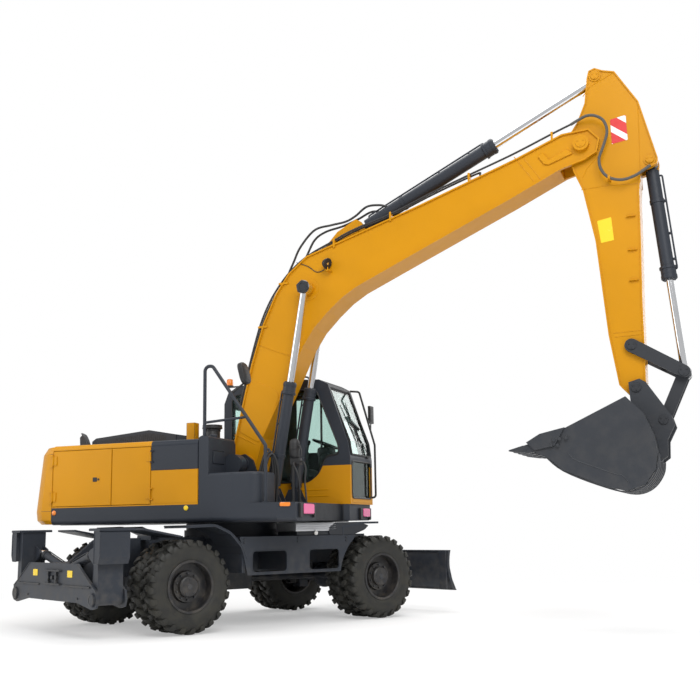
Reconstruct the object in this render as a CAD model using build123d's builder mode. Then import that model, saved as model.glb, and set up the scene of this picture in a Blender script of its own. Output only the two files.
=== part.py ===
from build123d import *

import os
from math import atan2, cos, degrees, hypot, pi, radians, sin

# Wheeled excavator with twin tyres, a pair of folding outriggers behind and a dozer blade in front.
# Lengths are in millimetres and angles in degrees.
# The upper works have x forward along the boom, y to the left and z up, from the slewing axis at
# floor level. The undercarriage has x forward towards the blade and stands turned under them.

# Where the slewing axis lies, seen from the middle of the whole machine's footprint.
SLEW_X = -1686
SLEW_Y = -164
SWING = 60

# Clearances and hinges.
RUN = 0.3
GAP = 6
HINGE_R = 6
HINGE_OUT = 14
HINGE_LONG = 110

# Wheels and axles.
TYRE_R = 520
TYRE_W = 270
TWIN_GAP = 50
HALF_TRACK = 950
WHEELBASE = 2800
REAR_X = -1300
FRONT_X = REAR_X + WHEELBASE
BEAD_R = 288
RIM_T = 22
SPINDLE_R = 60
HUB_R = 150
CAP_R = 118
KINGPIN_Y = 600
KINGPIN_R = 55
AXLE_R = 88
DIFF_R = 172
STEER = 30

# Undercarriage frame.
FRAME_HALF = 320
FRAME_TOP = 1060
FRAME_BASE = 700
FRAME_FRONT = FRONT_X + 450
TAIL_X = -2050
TAIL_PLATE_Y = 360
TAIL_PLATE_T = 60
LASH_X = -1880
LASH_Z = 800
LASH_R = 30
PLATE_OUT = 1160
PLATE_T = 30
RING_R = 610
SKIRT_BASE = 1233
DECK = 1442

# Outriggers.
BEAM_REAR = -2400
BEAM_T = 25
LEG_PIN_Y = 1080
LEG_PIN_Z = 430
LEG_PIN_R = 40
LEG_TOP = 1165
LEG_BOSS_R = 60
LEG_DOWN = 110
LEG_LUG_Y = 890
LEG_LUG_Z = 900
LEG_CYL_Y = 30
LEG_CYL_Z = 680
LEG_CYL_X = 72
LEG_CYL_R = 46
LEG_ROD_R = 24

# Dozer blade.
BLADE_HALF = 1230
BLADE_TOP = 820
BLADE_BASE = 285
BLADE_T = 38
BLADE_BACK = FRONT_X + 1155
BLADE_PIN_X = FRONT_X + 250
BLADE_PIN_Z = 600
BLADE_PIN_R = 35
BLADE_ARM_Y = 250
BLADE_CYL_Y = 120
BLADE_CYL_X = FRONT_X + 510
BLADE_CYL_Z = 930
BLADE_EYE_X = FRONT_X + 1070
BLADE_EYE_Z = 740
BLADE_CYL_R = 45
BLADE_CYL_PIN = 20
BLADE_ROD_R = 26
BLADE_DOWN = 22
BLADE_UP = 8

# Upper works.
HALF = 1230
TAIL_SEAM = -1896
TAIL_END = -2382
DOOR_SEAM = -1015
PANEL_SEAM = -456
HOOD_FRONT = 190
HOOD_TOP = 2220
PLATFORM_FRONT = 1384
WALL = 40
LID_REAR = -1750
LID_FRONT = -480
LID_HALF = 620
LID_TOP = 2425
TANK_FACE = 330
TANK_TOP = 2245
BOX_FACE = 995
BOX_TOP = 1805
BAY_RIGHT = -275
BAY_REAR = -20

# Cab.
CAB_RIGHT = 425
CAB_LEFT = 1245
CAB_REAR = -350
CAB_TOP = 3110
CAB_FRONT = 1490
CAB_WALL = 45
GLASS_T = 8
DOOR_REAR = 130
DOOR_FRONT = 1080

# Boom, with its pins measured from the foot pin.
FOOT_X = 315
FOOT_Z = 1968
BOOM_REACH = 4424
BOOM_RISE = 3605
BOOM_HALF = 215
WEB_INSET = 22
FOOT_PIN_R = 50
BOOM_CYL_Y = 320
BOOM_CYL_X = 750
BOOM_CYL_Z = 1580
BOOM_EYE_X = 1195
BOOM_EYE_Z = 4163
BOOM_CYL_R = 80
BOOM_ROD_R = 45
BOOM_BARREL = 1390
BOOM_UP = 18
BOOM_DOWN = 72

# Arm, with its pins measured from the pin at the boom's tip.
ARM_HALF = 158
ARM_PIN_R = 48
ARM_CYL_X = 1848
ARM_CYL_Z = 4922
ARM_EYE_X = 201
ARM_EYE_Z = 847
ARM_CYL_R = 85
ARM_ROD_R = 50
ARM_BARREL = 2010
ARM_ROD = 1700
ARM_INSET = 12
RIM_WIDE = 18
ARM_OUT = 90
ARM_IN = 8
EAR_IN = 56
EAR_OUT = 100

# Bucket and its linkage, measured from the same pin.
BUCKET_X = 441
BUCKET_Z = -2943
IDLER_X = 421
IDLER_Z = -2463
JOINT_X = 961
JOINT_Z = -2793
BUCKET_CYL_X = 761
BUCKET_CYL_Z = -293
BUCKET_CYL_R = 76
BUCKET_ROD_R = 42
BUCKET_BARREL = 1410
LINK_X = 270
LINK_Z = -380
BUCKET_HALF = 550
BUCKET_T = 28
PIN_R = 40
EYE_HALF = 50
CYL_PIN_R = 36
BUCKET_DUMP = 100
BUCKET_CURL = 30


def block(x_low, x_high, y_low, y_high, z_low, z_high, mode=Mode.ADD):
    """A box between two corners."""
    middle = ((x_low + x_high) / 2, (y_low + y_high) / 2, (z_low + z_high) / 2)
    with Locations(middle):
        Box(x_high - x_low, y_high - y_low, z_high - z_low, mode=mode)


def slab(points, y_low, y_high, mode=Mode.ADD, round_by=0):
    """A plate with an outline in x and z, from y_low to y_high."""
    with BuildSketch(Plane.XZ.offset(-y_low), mode=Mode.PRIVATE) as outline:
        with BuildLine():
            Polyline(*points, close=True)
        make_face()
        if round_by:
            fillet(outline.vertices(), round_by)
    extrude(outline.sketch, amount=-(y_high - y_low), mode=mode)


def pane(points, y_low, y_high):
    """A sheet that fills an opening with a hair's gap all round."""
    with BuildSketch(Plane.XZ.offset(-y_low), mode=Mode.PRIVATE) as outline:
        with BuildLine():
            Polyline(*points, close=True)
        make_face()
        offset(amount=-0.5, kind=Kind.INTERSECTION, mode=Mode.REPLACE)
    extrude(outline.sketch, amount=-(y_high - y_low))


def across(points, x_low, x_high, mode=Mode.ADD):
    """A plate with an outline in y and z, from x_low to x_high."""
    with BuildSketch(Plane.YZ.offset(x_low), mode=Mode.PRIVATE) as outline:
        with BuildLine():
            Polyline(*points, close=True)
        make_face()
    extrude(outline.sketch, amount=x_high - x_low, mode=mode)


def flat(points, z_low, z_high, mode=Mode.ADD, round_by=0):
    """A plate with an outline in x and y, from z_low to z_high."""
    with BuildSketch(Plane.XY.offset(z_low), mode=Mode.PRIVATE) as outline:
        with BuildLine():
            Polyline(*points, close=True)
        make_face()
        if round_by:
            fillet(outline.vertices(), round_by)
    extrude(outline.sketch, amount=z_high - z_low, mode=mode)


def panel(points, rim, y_low, y_high):
    """Sinks the face inside an outline and leaves a rim of its plates' edges standing."""
    with BuildSketch(Plane.XZ.offset(-y_low), mode=Mode.PRIVATE) as outline:
        with BuildLine():
            Polyline(*points, close=True)
        make_face()
        offset(amount=-rim, kind=Kind.INTERSECTION, mode=Mode.REPLACE)
    extrude(outline.sketch, amount=-(y_high - y_low), mode=Mode.SUBTRACT)


def bar(start, end, radius, mode=Mode.ADD):
    """A round bar from one point to another."""
    along = Vector(*end) - Vector(*start)
    with BuildSketch(Plane(origin=start, z_dir=along), mode=Mode.PRIVATE) as section:
        Circle(radius)
    extrude(section.sketch, amount=along.length, mode=mode)


def cross_bar(x, z, half, radius, mode=Mode.ADD):
    """A round bar across the machine, as far to each side."""
    bar((x, -half, z), (x, half, z), radius, mode)


def tube(points, bend, radius):
    """A bent round tube with one bend radius."""
    with BuildLine(mode=Mode.PRIVATE) as path:
        FilletPolyline(*points, radius=bend)
    run = path.line
    with BuildSketch(Plane(origin=run @ 0, z_dir=run % 0), mode=Mode.PRIVATE) as section:
        Circle(radius)
    sweep(section.sketch, path=run)


def about(points, x, z):
    """The same outline, moved to a pin."""
    return [(x + px, z + pz) for px, pz in points]


def barrel(start, end, length, radius, eye_half, rod_radius, pin_radius):
    """A cylinder's barrel: its eye at start, pointing at end, bored for its rod."""
    along = (Vector(*end) - Vector(*start)).normalized()
    foot = Vector(*start) + along * (radius * 1.35)
    mouth = Vector(*start) + along * length
    bar((start[0], start[1] - eye_half, start[2]), (start[0], start[1] + eye_half, start[2]), radius * 1.05)
    bar(start, foot, eye_half * 0.9)
    bar(foot, mouth, radius)
    bar(mouth - along * 130, mouth, radius * 1.14)
    bar(foot + along * 40, mouth + along, rod_radius + RUN, Mode.SUBTRACT)
    bar((start[0], start[1] - eye_half - 1, start[2]), (start[0], start[1] + eye_half + 1, start[2]),
        pin_radius + RUN, Mode.SUBTRACT)


def rod(start, end, length, radius, eye_radius, eye_half):
    """A cylinder's rod: a length behind its eye at end, on the line from start."""
    along = (Vector(*end) - Vector(*start)).normalized()
    tail = Vector(*end) - along * length
    bar(tail, end, radius)
    bar((end[0], end[1] - eye_half, end[2]), (end[0], end[1] + eye_half, end[2]), eye_radius)


def hinge_pin(start, end, plate_mid, plate_size):
    """A fixed hinge pin with a lug under each of its ends, on the frame's side."""
    bar(start, end, HINGE_R)
    for place in (start, end):
        middle = [place[k] if plate_mid[k] is None else plate_mid[k] for k in range(3)]
        with Locations(tuple(middle)):
            Box(*plate_size)


def hinge_sleeve(start, end, leaf_low, leaf_high):
    """A sleeve on a hinge pin and the leaf that joins it to its door."""
    bar(start, end, HINGE_R * 2)
    block(leaf_low[0], leaf_high[0], leaf_low[1], leaf_high[1], leaf_low[2], leaf_high[2])
    along = (Vector(*end) - Vector(*start)).normalized()
    bar(Vector(*start) - along, Vector(*end) + along, HINGE_R + RUN, Mode.SUBTRACT)


def span(start, end):
    """The distance between two points given by x and z."""
    return hypot(end[0] - start[0], end[1] - start[1])


made = []

# Undercarriage frame: a box beam on the centre line, a ring seat and a stepped plate at each side.
with BuildPart() as chassis:
    block(-1500, FRAME_FRONT, -FRAME_HALF, FRAME_HALF, FRAME_BASE, FRAME_TOP)
    block(-720, 900, -FRAME_HALF, FRAME_HALF, 620, FRAME_BASE)
    tail_outline = [(-1500, FRAME_TOP), (-1740, FRAME_TOP - 15), (TAIL_X, 800),
                    (TAIL_X, 440), (-1760, 600), (-1500, FRAME_BASE)]
    for side in (-1, 1):
        slab(tail_outline, side * TAIL_PLATE_Y - TAIL_PLATE_T / 2, side * TAIL_PLATE_Y + TAIL_PLATE_T / 2)
        bar((LASH_X, side * TAIL_PLATE_Y - TAIL_PLATE_T / 2 - 1, LASH_Z),
            (LASH_X, side * TAIL_PLATE_Y + TAIL_PLATE_T / 2 + 1, LASH_Z), LASH_R, Mode.SUBTRACT)
        block(BLADE_PIN_X - 90, FRAME_FRONT, side * 175 - 30, side * 175 + 30, 520, FRAME_BASE)
        outer = side * (PLATE_OUT - PLATE_T / 2)
        arch = [(1050, -380), (1000, -423), (950, -475), (900, -517), (850, -550), (800, -578), (750, -600), (700, -617),
                (650, -629), (610, -637)]
        slab([(-620, 1055)] + [(FRONT_X + back, level) for level, back in arch] + [(-510, 610)],
             outer - PLATE_T / 2, outer + PLATE_T / 2)
        inner, outer_edge = sorted((side * FRAME_HALF, side * (PLATE_OUT - PLATE_T)))
        block(-600, 560, inner, outer_edge, 1030, 1055)
        for wall_x in (-560, 210):
            block(wall_x - 15, wall_x + 15, inner, outer_edge, 640, 1030)
        near, far = sorted((side * 640, side * PLATE_OUT))
        arch = [(-1330, 1165), (-1330, 1190), (-950, 1200), (-740, 1112), (-590, 960), (-520, 800),
                (-545, 790), (-612, 945), (-756, 1090), (-955, 1175)]
        slab(arch, near, far)
        if side == 1:
            slab([(560, 1030), (560, 1060), (700, 1130), (1270, 1215), (1500, 1215), (1500, 1190),
                  (1272, 1190), (706, 1105), (600, 1050)], near, far)
        else:
            slab([(900, 1134), (900, 1160), (1270, 1215), (1500, 1215), (1500, 1190), (1272, 1190)], near, far)
            block(905, 925, near, -FRAME_HALF, 1040, 1150)
            block(905, 925, near, far, 1056, 1150)
            block(905, 925, near, near + 30, 1045, 1150)
        slab([(-1400, 1062), (-1860, 1150), (-1860, 1172), (-1400, 1084)], near, far)
        shelf_in, shelf_out = sorted((side * 300, side * 640))
        block(-1500, -1400, shelf_in, shelf_out, 1040, 1084)
        for window_x in (-200, 615):
            half_w = 250 if window_x < 0 else 235
            slab([(window_x - half_w, 640), (window_x + half_w, 640),
                  (window_x + half_w, 890), (window_x - half_w, 890)],
                 outer - PLATE_T, outer + PLATE_T, Mode.SUBTRACT, round_by=45)
    bar((0, 0, FRAME_TOP), (0, 0, FRAME_TOP + 85), RING_R)
    bar((BLADE_PIN_X, -300, BLADE_PIN_Z), (BLADE_PIN_X, 300, BLADE_PIN_Z), BLADE_PIN_R)
    for side in (-1, 1):
        for ear in (-1, 1):
            low, high = sorted((side * BLADE_CYL_Y + ear * 52, side * BLADE_CYL_Y + ear * 72))
            slab([(FRAME_FRONT, 850), (FRAME_FRONT, 1020), (BLADE_CYL_X + 10, 985), (BLADE_CYL_X + 45, 945),
                  (BLADE_CYL_X + 45, 910), (BLADE_CYL_X + 10, 880)], low, high)
        bar((BLADE_CYL_X, side * BLADE_CYL_Y - 74, BLADE_CYL_Z), (BLADE_CYL_X, side * BLADE_CYL_Y + 74, BLADE_CYL_Z),
            BLADE_CYL_PIN)
made.append((chassis, "chassis", "under"))


def axle_beam(x):
    """An axle's housing with its bulge and the pads under the frame."""
    cross_bar(x, TYRE_R, 500, AXLE_R)
    with Locations((x, 0, TYRE_R)):
        Sphere(DIFF_R)
    for pad_side in (-1, 1):
        block(x - 90, x + 90, pad_side * 230 - 60, pad_side * 230 + 60, TYRE_R, FRAME_BASE)


# Rear axle with its fixed spindles.
with BuildPart() as rear_axle:
    axle_beam(REAR_X)
    cross_bar(REAR_X, TYRE_R, 640, AXLE_R)
    for side in (-1, 1):
        bar((REAR_X, side * 640, TYRE_R), (REAR_X, side * 790, TYRE_R), HUB_R)
        bar((REAR_X, side * 640, TYRE_R), (REAR_X, side * 890, TYRE_R), SPINDLE_R)
made.append((rear_axle, "rear_axle", "under"))

# Front axle: the beam ends in a fork that holds each knuckle from above and below.
with BuildPart() as front_axle:
    axle_beam(FRONT_X)
    for side in (-1, 1):
        low, high = sorted((side * 495, side * 525))
        block(FRONT_X - 70, FRONT_X + 70, low, high, TYRE_R - 180, TYRE_R + 180)
        low, high = sorted((side * 495, side * 650))
        for level in (-1, 1):
            edge, end = sorted((level * 135, level * 180))
            block(FRONT_X - 70, FRONT_X + 70, low, high, TYRE_R + edge, TYRE_R + end)
    bar((FRONT_X - 150, -330, TYRE_R), (FRONT_X - 150, 330, TYRE_R), 38)
    bar((FRONT_X - 150, -430, TYRE_R), (FRONT_X - 150, 430, TYRE_R), 22)
    block(FRONT_X - 170, FRONT_X, -260, -200, TYRE_R - 40, TYRE_R + 40)
    block(FRONT_X - 170, FRONT_X, 200, 260, TYRE_R - 40, TYRE_R + 40)
made.append((front_axle, "front_axle", "under"))

# Gearbox and drive shafts under the frame.
with BuildPart() as driveline:
    block(-260, 180, -190, 190, 400, 620)
    bar((-260, 0, TYRE_R), (REAR_X + DIFF_R + 2, 0, TYRE_R), 42)
    bar((180, 0, TYRE_R), (FRONT_X - DIFF_R - 40, 0, TYRE_R), 42)
made.append((driveline, "driveline", "under"))

# Knuckles, one at each end of the front axle.
knuckles = {}
for side, name in ((1, "left"), (-1, "right")):
    with BuildPart() as knuckle:
        centre = (FRONT_X, side * KINGPIN_Y, TYRE_R)
        bar((centre[0], centre[1], TYRE_R - 134.7), (centre[0], centre[1], TYRE_R + 134.7), KINGPIN_R)
        bar((centre[0], centre[1], TYRE_R), (centre[0], side * 890, TYRE_R), SPINDLE_R)
        bar((centre[0], side * 715, TYRE_R), (centre[0], side * 790, TYRE_R), HUB_R - 12)
    made.append((knuckle, "knuckle_" + name, "under"))

# Twin tyres and their joined rims, at both ends of both axles.
wheel_table = [  # name, axle x, side
    ("rear_left", REAR_X, 1),
    ("rear_right", REAR_X, -1),
    ("front_left", FRONT_X, 1),
    ("front_right", FRONT_X, -1),
]
TWIN_STEP = (TYRE_W + TWIN_GAP) / 2
LUGS = 20
LUG_LEAN = 16
tyre_sections = [(-108, BEAD_R + 14), (-134, 415), (-98, TYRE_R - 32), (98, TYRE_R - 32), (134, 415), (108, BEAD_R + 14)]
for name, axle_x, side in wheel_table:
    radial = Plane(origin=(axle_x, 0, TYRE_R), x_dir=(0, 0, 1), z_dir=(-1, 0, 0))
    spin = Axis((axle_x, 0, TYRE_R), (0, 1, 0))
    with BuildPart() as tyres:
        for step in (-1, 1):
            middle = side * HALF_TRACK + step * TWIN_STEP
            for out, radius in tyre_sections:
                with BuildSketch(Plane(origin=(axle_x, middle + out, TYRE_R), x_dir=(0, 0, 1), z_dir=(0, 1, 0))):
                    RegularPolygon(radius / cos(pi / LUGS), LUGS)
            loft(ruled=True)
            lug_places = []
            for half in (-1, 1):
                for count in range(LUGS):
                    turn = (count + 0.25 * (half + 1)) * 360 / LUGS
                    lean = half * side * LUG_LEAN
                    place = Location((axle_x, middle, TYRE_R)) * Rotation(0, turn, 0)
                    lug_places.append(place * Location((0, half * 70, TYRE_R - 27), (0, 0, lean)))
            with Locations(*lug_places):
                Box(58, 112, 54)
            cut = Plane(origin=(axle_x, middle, TYRE_R), z_dir=(0, 1, 0))
            with BuildSketch(cut):
                Circle(BEAD_R)
            extrude(amount=TYRE_W, both=True, mode=Mode.SUBTRACT)
    made.append((tyres, "tyres_" + name, "under"))
    with BuildPart() as rim:
        inner_face = side * (HALF_TRACK - TWIN_STEP - 112)
        outer_face = side * (HALF_TRACK + TWIN_STEP + 112)
        rim_r = BEAD_R - RUN
        disc_in = side * (HALF_TRACK + TWIN_STEP - 40)
        disc_out = side * (HALF_TRACK + TWIN_STEP - 12)
        with BuildSketch(radial):
            with BuildLine():
                Polyline((rim_r - RIM_T, inner_face), (rim_r, inner_face), (rim_r, outer_face),
                         (rim_r - RIM_T, outer_face), close=True)
            make_face()
            with BuildLine():
                Polyline((0, disc_in), (rim_r - RIM_T + 2, disc_in), (rim_r - RIM_T + 2, disc_out),
                         (CAP_R + 60, disc_out), (CAP_R + 50, disc_out + side * 40),
                         (CAP_R, disc_out + side * 40), (CAP_R, side * 1185), (CAP_R - 15, side * 1198),
                         (0, side * 1198), close=True)
            make_face()
            with BuildLine():
                Polyline((0, side * 900), (SPINDLE_R + RUN, side * 900), (SPINDLE_R + RUN, side * 820),
                         (HUB_R, side * 820), (HUB_R, disc_in + side), (0, disc_in + side), close=True)
            make_face()
        revolve(axis=spin)
    made.append((rim, "rim_" + name, "under"))

# Stabiliser beam: two face plates joined by short decks, with the legs between its open ends.
BEAM_FRONT = TAIL_X
with BuildPart() as stabiliser_beam:
    half_face = [(675, 800), (1000, 610), (1165, 520), (1190, 430), (1160, 350), (1050, 330), (700, 385)]
    face = half_face + [(-y, z) for y, z in reversed(half_face)]
    across(face, BEAM_REAR, BEAM_REAR + BEAM_T)
    across(face, BEAM_FRONT - BEAM_T, BEAM_FRONT - RUN)
    block(BEAM_REAR, BEAM_FRONT - 10, -150, 150, 775, 800)
    block(BEAM_REAR, BEAM_FRONT - 10, -500, 500, 385, 405)
    for side in (-1, 1):
        bar((BEAM_REAR - 22, side * LEG_PIN_Y, LEG_PIN_Z), (BEAM_FRONT - RUN, side * LEG_PIN_Y, LEG_PIN_Z),
            LEG_PIN_R)
        bar((BEAM_REAR - 16, side * LEG_PIN_Y, LEG_PIN_Z), (BEAM_REAR, side * LEG_PIN_Y, LEG_PIN_Z), 72)
        fixed_end = BEAM_FRONT - 10 if side == 1 else BEAM_REAR + 10
        bar(((BEAM_REAR + BEAM_FRONT) / 2, side * LEG_CYL_Y, LEG_CYL_Z), (fixed_end, side * LEG_CYL_Y, LEG_CYL_Z),
            26)
made.append((stabiliser_beam, "stabiliser_beam", "under"))

# Outriggers, folded up as the machine travels, and the cylinder that lowers each.
LEG_BACK = BEAM_REAR + BEAM_T + GAP
LEG_FRONT = BEAM_FRONT - BEAM_T - GAP
LEG_MID = (LEG_BACK + LEG_FRONT) / 2
for side, name in ((1, "left"), (-1, "right")):
    leg_x = LEG_MID + side * LEG_CYL_X
    with BuildPart() as outrigger:
        arm_plan = [(1020, 430), (1015, 820), (1005, 1150), (1110, 1150), (1130, 800), (1140, 430)]
        across([(side * y, z) for y, z in arm_plan], LEG_BACK, LEG_FRONT)
        bar((LEG_BACK, side * LEG_PIN_Y, LEG_PIN_Z), (LEG_FRONT, side * LEG_PIN_Y, LEG_PIN_Z), LEG_BOSS_R)
        foot_plan = [(1105, 800), (1105, 1150), (1235, 1150), (1250, 1120), (1250, 870), (1215, 800)]
        across([(side * y, z) for y, z in foot_plan], BEAM_REAR - 8, BEAM_FRONT - 12)
        low, high = sorted((side * 985, side * 1255))
        block(BEAM_REAR - 18, BEAM_FRONT + 42, low, high, 1148, 1172)
        for lug_x in (leg_x - 58, leg_x + 38):
            lug = [(1025, LEG_LUG_Z - 130), (LEG_LUG_Y - 15, LEG_LUG_Z - 42), (LEG_LUG_Y - 42, LEG_LUG_Z),
                   (LEG_LUG_Y - 15, LEG_LUG_Z + 42), (1025, LEG_LUG_Z + 90)]
            across([(side * y, z) for y, z in lug], lug_x, lug_x + 20)
        bar((LEG_BACK - 1, side * LEG_PIN_Y, LEG_PIN_Z), (LEG_FRONT + 1, side * LEG_PIN_Y, LEG_PIN_Z),
            LEG_PIN_R + RUN, Mode.SUBTRACT)
    made.append((outrigger, "outrigger_" + name, "under"))
    base = Vector(leg_x, side * LEG_CYL_Y, LEG_CYL_Z)
    lug = Vector(leg_x, side * LEG_LUG_Y, LEG_LUG_Z)
    along = (lug - base).normalized()
    with BuildPart() as leg_barrel:
        bar((leg_x - 38, base.Y, base.Z), (leg_x + 38, base.Y, base.Z), 44)
        bar(base, base + along * 800, LEG_CYL_R)
        bar(base + along * 50, base + along * 801, LEG_ROD_R + RUN, Mode.SUBTRACT)
        bar((leg_x - 60, base.Y, base.Z), (leg_x + 60, base.Y, base.Z), 26 + RUN, Mode.SUBTRACT)
    made.append((leg_barrel, "outrigger_barrel_" + name, "under"))
    with BuildPart() as leg_rod:
        bar(lug - along * 820, lug, LEG_ROD_R)
        bar((leg_x - 34, lug.Y, lug.Z), (leg_x + 34, lug.Y, lug.Z), 40)
    made.append((leg_rod, "outrigger_rod_" + name, "under"))

# Dozer blade with its two push arms, and the pair of cylinders that lift it.
with BuildPart() as blade:
    front_top = (BLADE_BACK + BLADE_T + 25, BLADE_TOP)
    front_mid = (BLADE_BACK + BLADE_T, 600)
    front_base = (BLADE_BACK + 155, BLADE_BASE)
    back_base = (BLADE_BACK + 105, BLADE_BASE)
    back_mid = (BLADE_BACK, 600)
    back_top = (BLADE_BACK + 25, BLADE_TOP)
    with BuildSketch(Plane.XZ.offset(BLADE_HALF)):
        with BuildLine():
            ThreePointArc(front_top, front_mid, front_base)
            Line(front_base, back_base)
            ThreePointArc(back_base, back_mid, back_top)
            Line(back_top, front_top)
        make_face()
    extrude(amount=-2 * BLADE_HALF)
    arm_line = [(BLADE_PIN_X - 60, BLADE_PIN_Z - 60), (BLADE_PIN_X - 60, BLADE_PIN_Z + 60),
                (BLADE_PIN_X + 60, BLADE_PIN_Z + 60), (BLADE_BACK + 8, 640), (BLADE_BACK + 8, 440),
                (BLADE_PIN_X + 60, BLADE_PIN_Z - 70)]
    for side in (-1, 1):
        slab(arm_line, side * BLADE_ARM_Y - 25, side * BLADE_ARM_Y + 25)
        for ear in (-1, 1):
            middle = side * BLADE_CYL_Y + ear * 52
            slab([(BLADE_EYE_X - 45, BLADE_EYE_Z - 45), (BLADE_EYE_X - 45, BLADE_EYE_Z + 45),
                  (BLADE_BACK + 12, BLADE_EYE_Z + 65), (BLADE_BACK + 8, BLADE_EYE_Z - 120)],
                 middle - 10, middle + 10)
    block(BLADE_BACK - 90, BLADE_BACK - 40, -BLADE_ARM_Y, BLADE_ARM_Y, 470, 560)
    cross_bar(BLADE_PIN_X, BLADE_PIN_Z, BLADE_ARM_Y + 26, BLADE_PIN_R + RUN, Mode.SUBTRACT)
made.append((blade, "blade", "under"))

blade_base = (BLADE_CYL_X, BLADE_CYL_Z)
blade_eye = (BLADE_EYE_X, BLADE_EYE_Z)
BLADE_STROKE_BARREL = 440
with BuildPart() as blade_barrels:
    for side in (-1, 1):
        barrel((BLADE_CYL_X, side * BLADE_CYL_Y, BLADE_CYL_Z), (BLADE_EYE_X, side * BLADE_CYL_Y, BLADE_EYE_Z),
               BLADE_STROKE_BARREL, BLADE_CYL_R, 38, BLADE_ROD_R, BLADE_CYL_PIN)
made.append((blade_barrels, "blade_barrels", "under"))
with BuildPart() as blade_rods:
    for side in (-1, 1):
        rod((BLADE_CYL_X, side * BLADE_CYL_Y, BLADE_CYL_Z), (BLADE_EYE_X, side * BLADE_CYL_Y, BLADE_EYE_Z),
            425, BLADE_ROD_R, 42, 38)
made.append((blade_rods, "blade_rods", "under"))

# Boarding box of aluminium on the right of the frame.
with BuildPart() as step_box:
    block(270, 890, -1150, -720, 1055 + RUN, 1185)
made.append((step_box, "step_box", "under"))

# Platform: the upper works' floor with its skirt and the brackets of the boom and its cylinders.
with BuildPart() as platform:
    flat([(TAIL_SEAM + 2, -HALF), (PLATFORM_FRONT - 160, -HALF), (PLATFORM_FRONT, -HALF + 160),
          (PLATFORM_FRONT, 400), (CAB_FRONT - 20, 430), (CAB_FRONT - 20, HALF - 40),
          (CAB_FRONT - 120, HALF), (TAIL_SEAM + 2, HALF)], SKIRT_BASE, DECK)
    skirt_edges = platform.edges().group_by(Axis.Z)[0].filter_by(lambda e: abs(e.center().Y) > HALF - 100)
    fillet(skirt_edges, 55)
    block(-2150, TAIL_SEAM + 10, -700, 700, SKIRT_BASE, SKIRT_BASE + 12)
    bar((0, 0, FRAME_TOP + 85 + RUN), (0, 0, SKIRT_BASE), RING_R - 25)
    for side in (-1, 1):
        inner = side * (BOOM_HALF + GAP + 20)
        slab([(60, DECK), (150, FOOT_Z + 90), (FOOT_X, FOOT_Z + 120), (FOOT_X + 110, FOOT_Z + 40),
              (620, DECK)], inner - 20, inner + 20)
        for ear in (-1, 1):
            middle = side * BOOM_CYL_Y + ear * 66
            slab([(BOOM_CYL_X - 150, DECK), (BOOM_CYL_X - 60, BOOM_CYL_Z + 60),
                  (BOOM_CYL_X + 60, BOOM_CYL_Z + 60), (BOOM_CYL_X + 150, DECK)], middle - 10, middle + 10)
        bar((BOOM_CYL_X, side * BOOM_CYL_Y - 80, BOOM_CYL_Z), (BOOM_CYL_X, side * BOOM_CYL_Y + 80, BOOM_CYL_Z),
            CYL_PIN_R)
    cross_bar(FOOT_X, FOOT_Z, BOOM_HALF + GAP + 60, FOOT_PIN_R)
made.append((platform, "platform", "upper"))

# Counterweight: furthest back near its foot, with rounded corners and a drawn-in foot and shoulder.
weight_table = [  # level, rear end, half width
    (SKIRT_BASE + 12, TAIL_END + 60, HALF - 36),
    (SKIRT_BASE + 60, TAIL_END + 14, HALF - 10),
    (1405, TAIL_END, HALF - 6),
    (2120, TAIL_END + 80, HALF - 8),
    (HOOD_TOP - 10, TAIL_END + 120, HALF - 44),
]
with BuildPart() as counterweight:
    for level, end, half in weight_table:
        with BuildSketch(Plane.XY.offset(level)):
            with BuildLine():
                Line((TAIL_SEAM - 8, half), (end + 320, half - 10))
                ThreePointArc((end + 320, half - 10), (end + 110, half - 190), (end, half - 560))
                Line((end, half - 560), (end, -half + 560))
                ThreePointArc((end, -half + 560), (end + 110, -half + 190), (end + 320, -half + 10))
                Line((end + 320, -half + 10), (TAIL_SEAM - 8, -half))
                Line((TAIL_SEAM - 8, -half), (TAIL_SEAM - 8, half))
            make_face()
    loft(ruled=True)
made.append((counterweight, "counterweight", "upper"))

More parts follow.
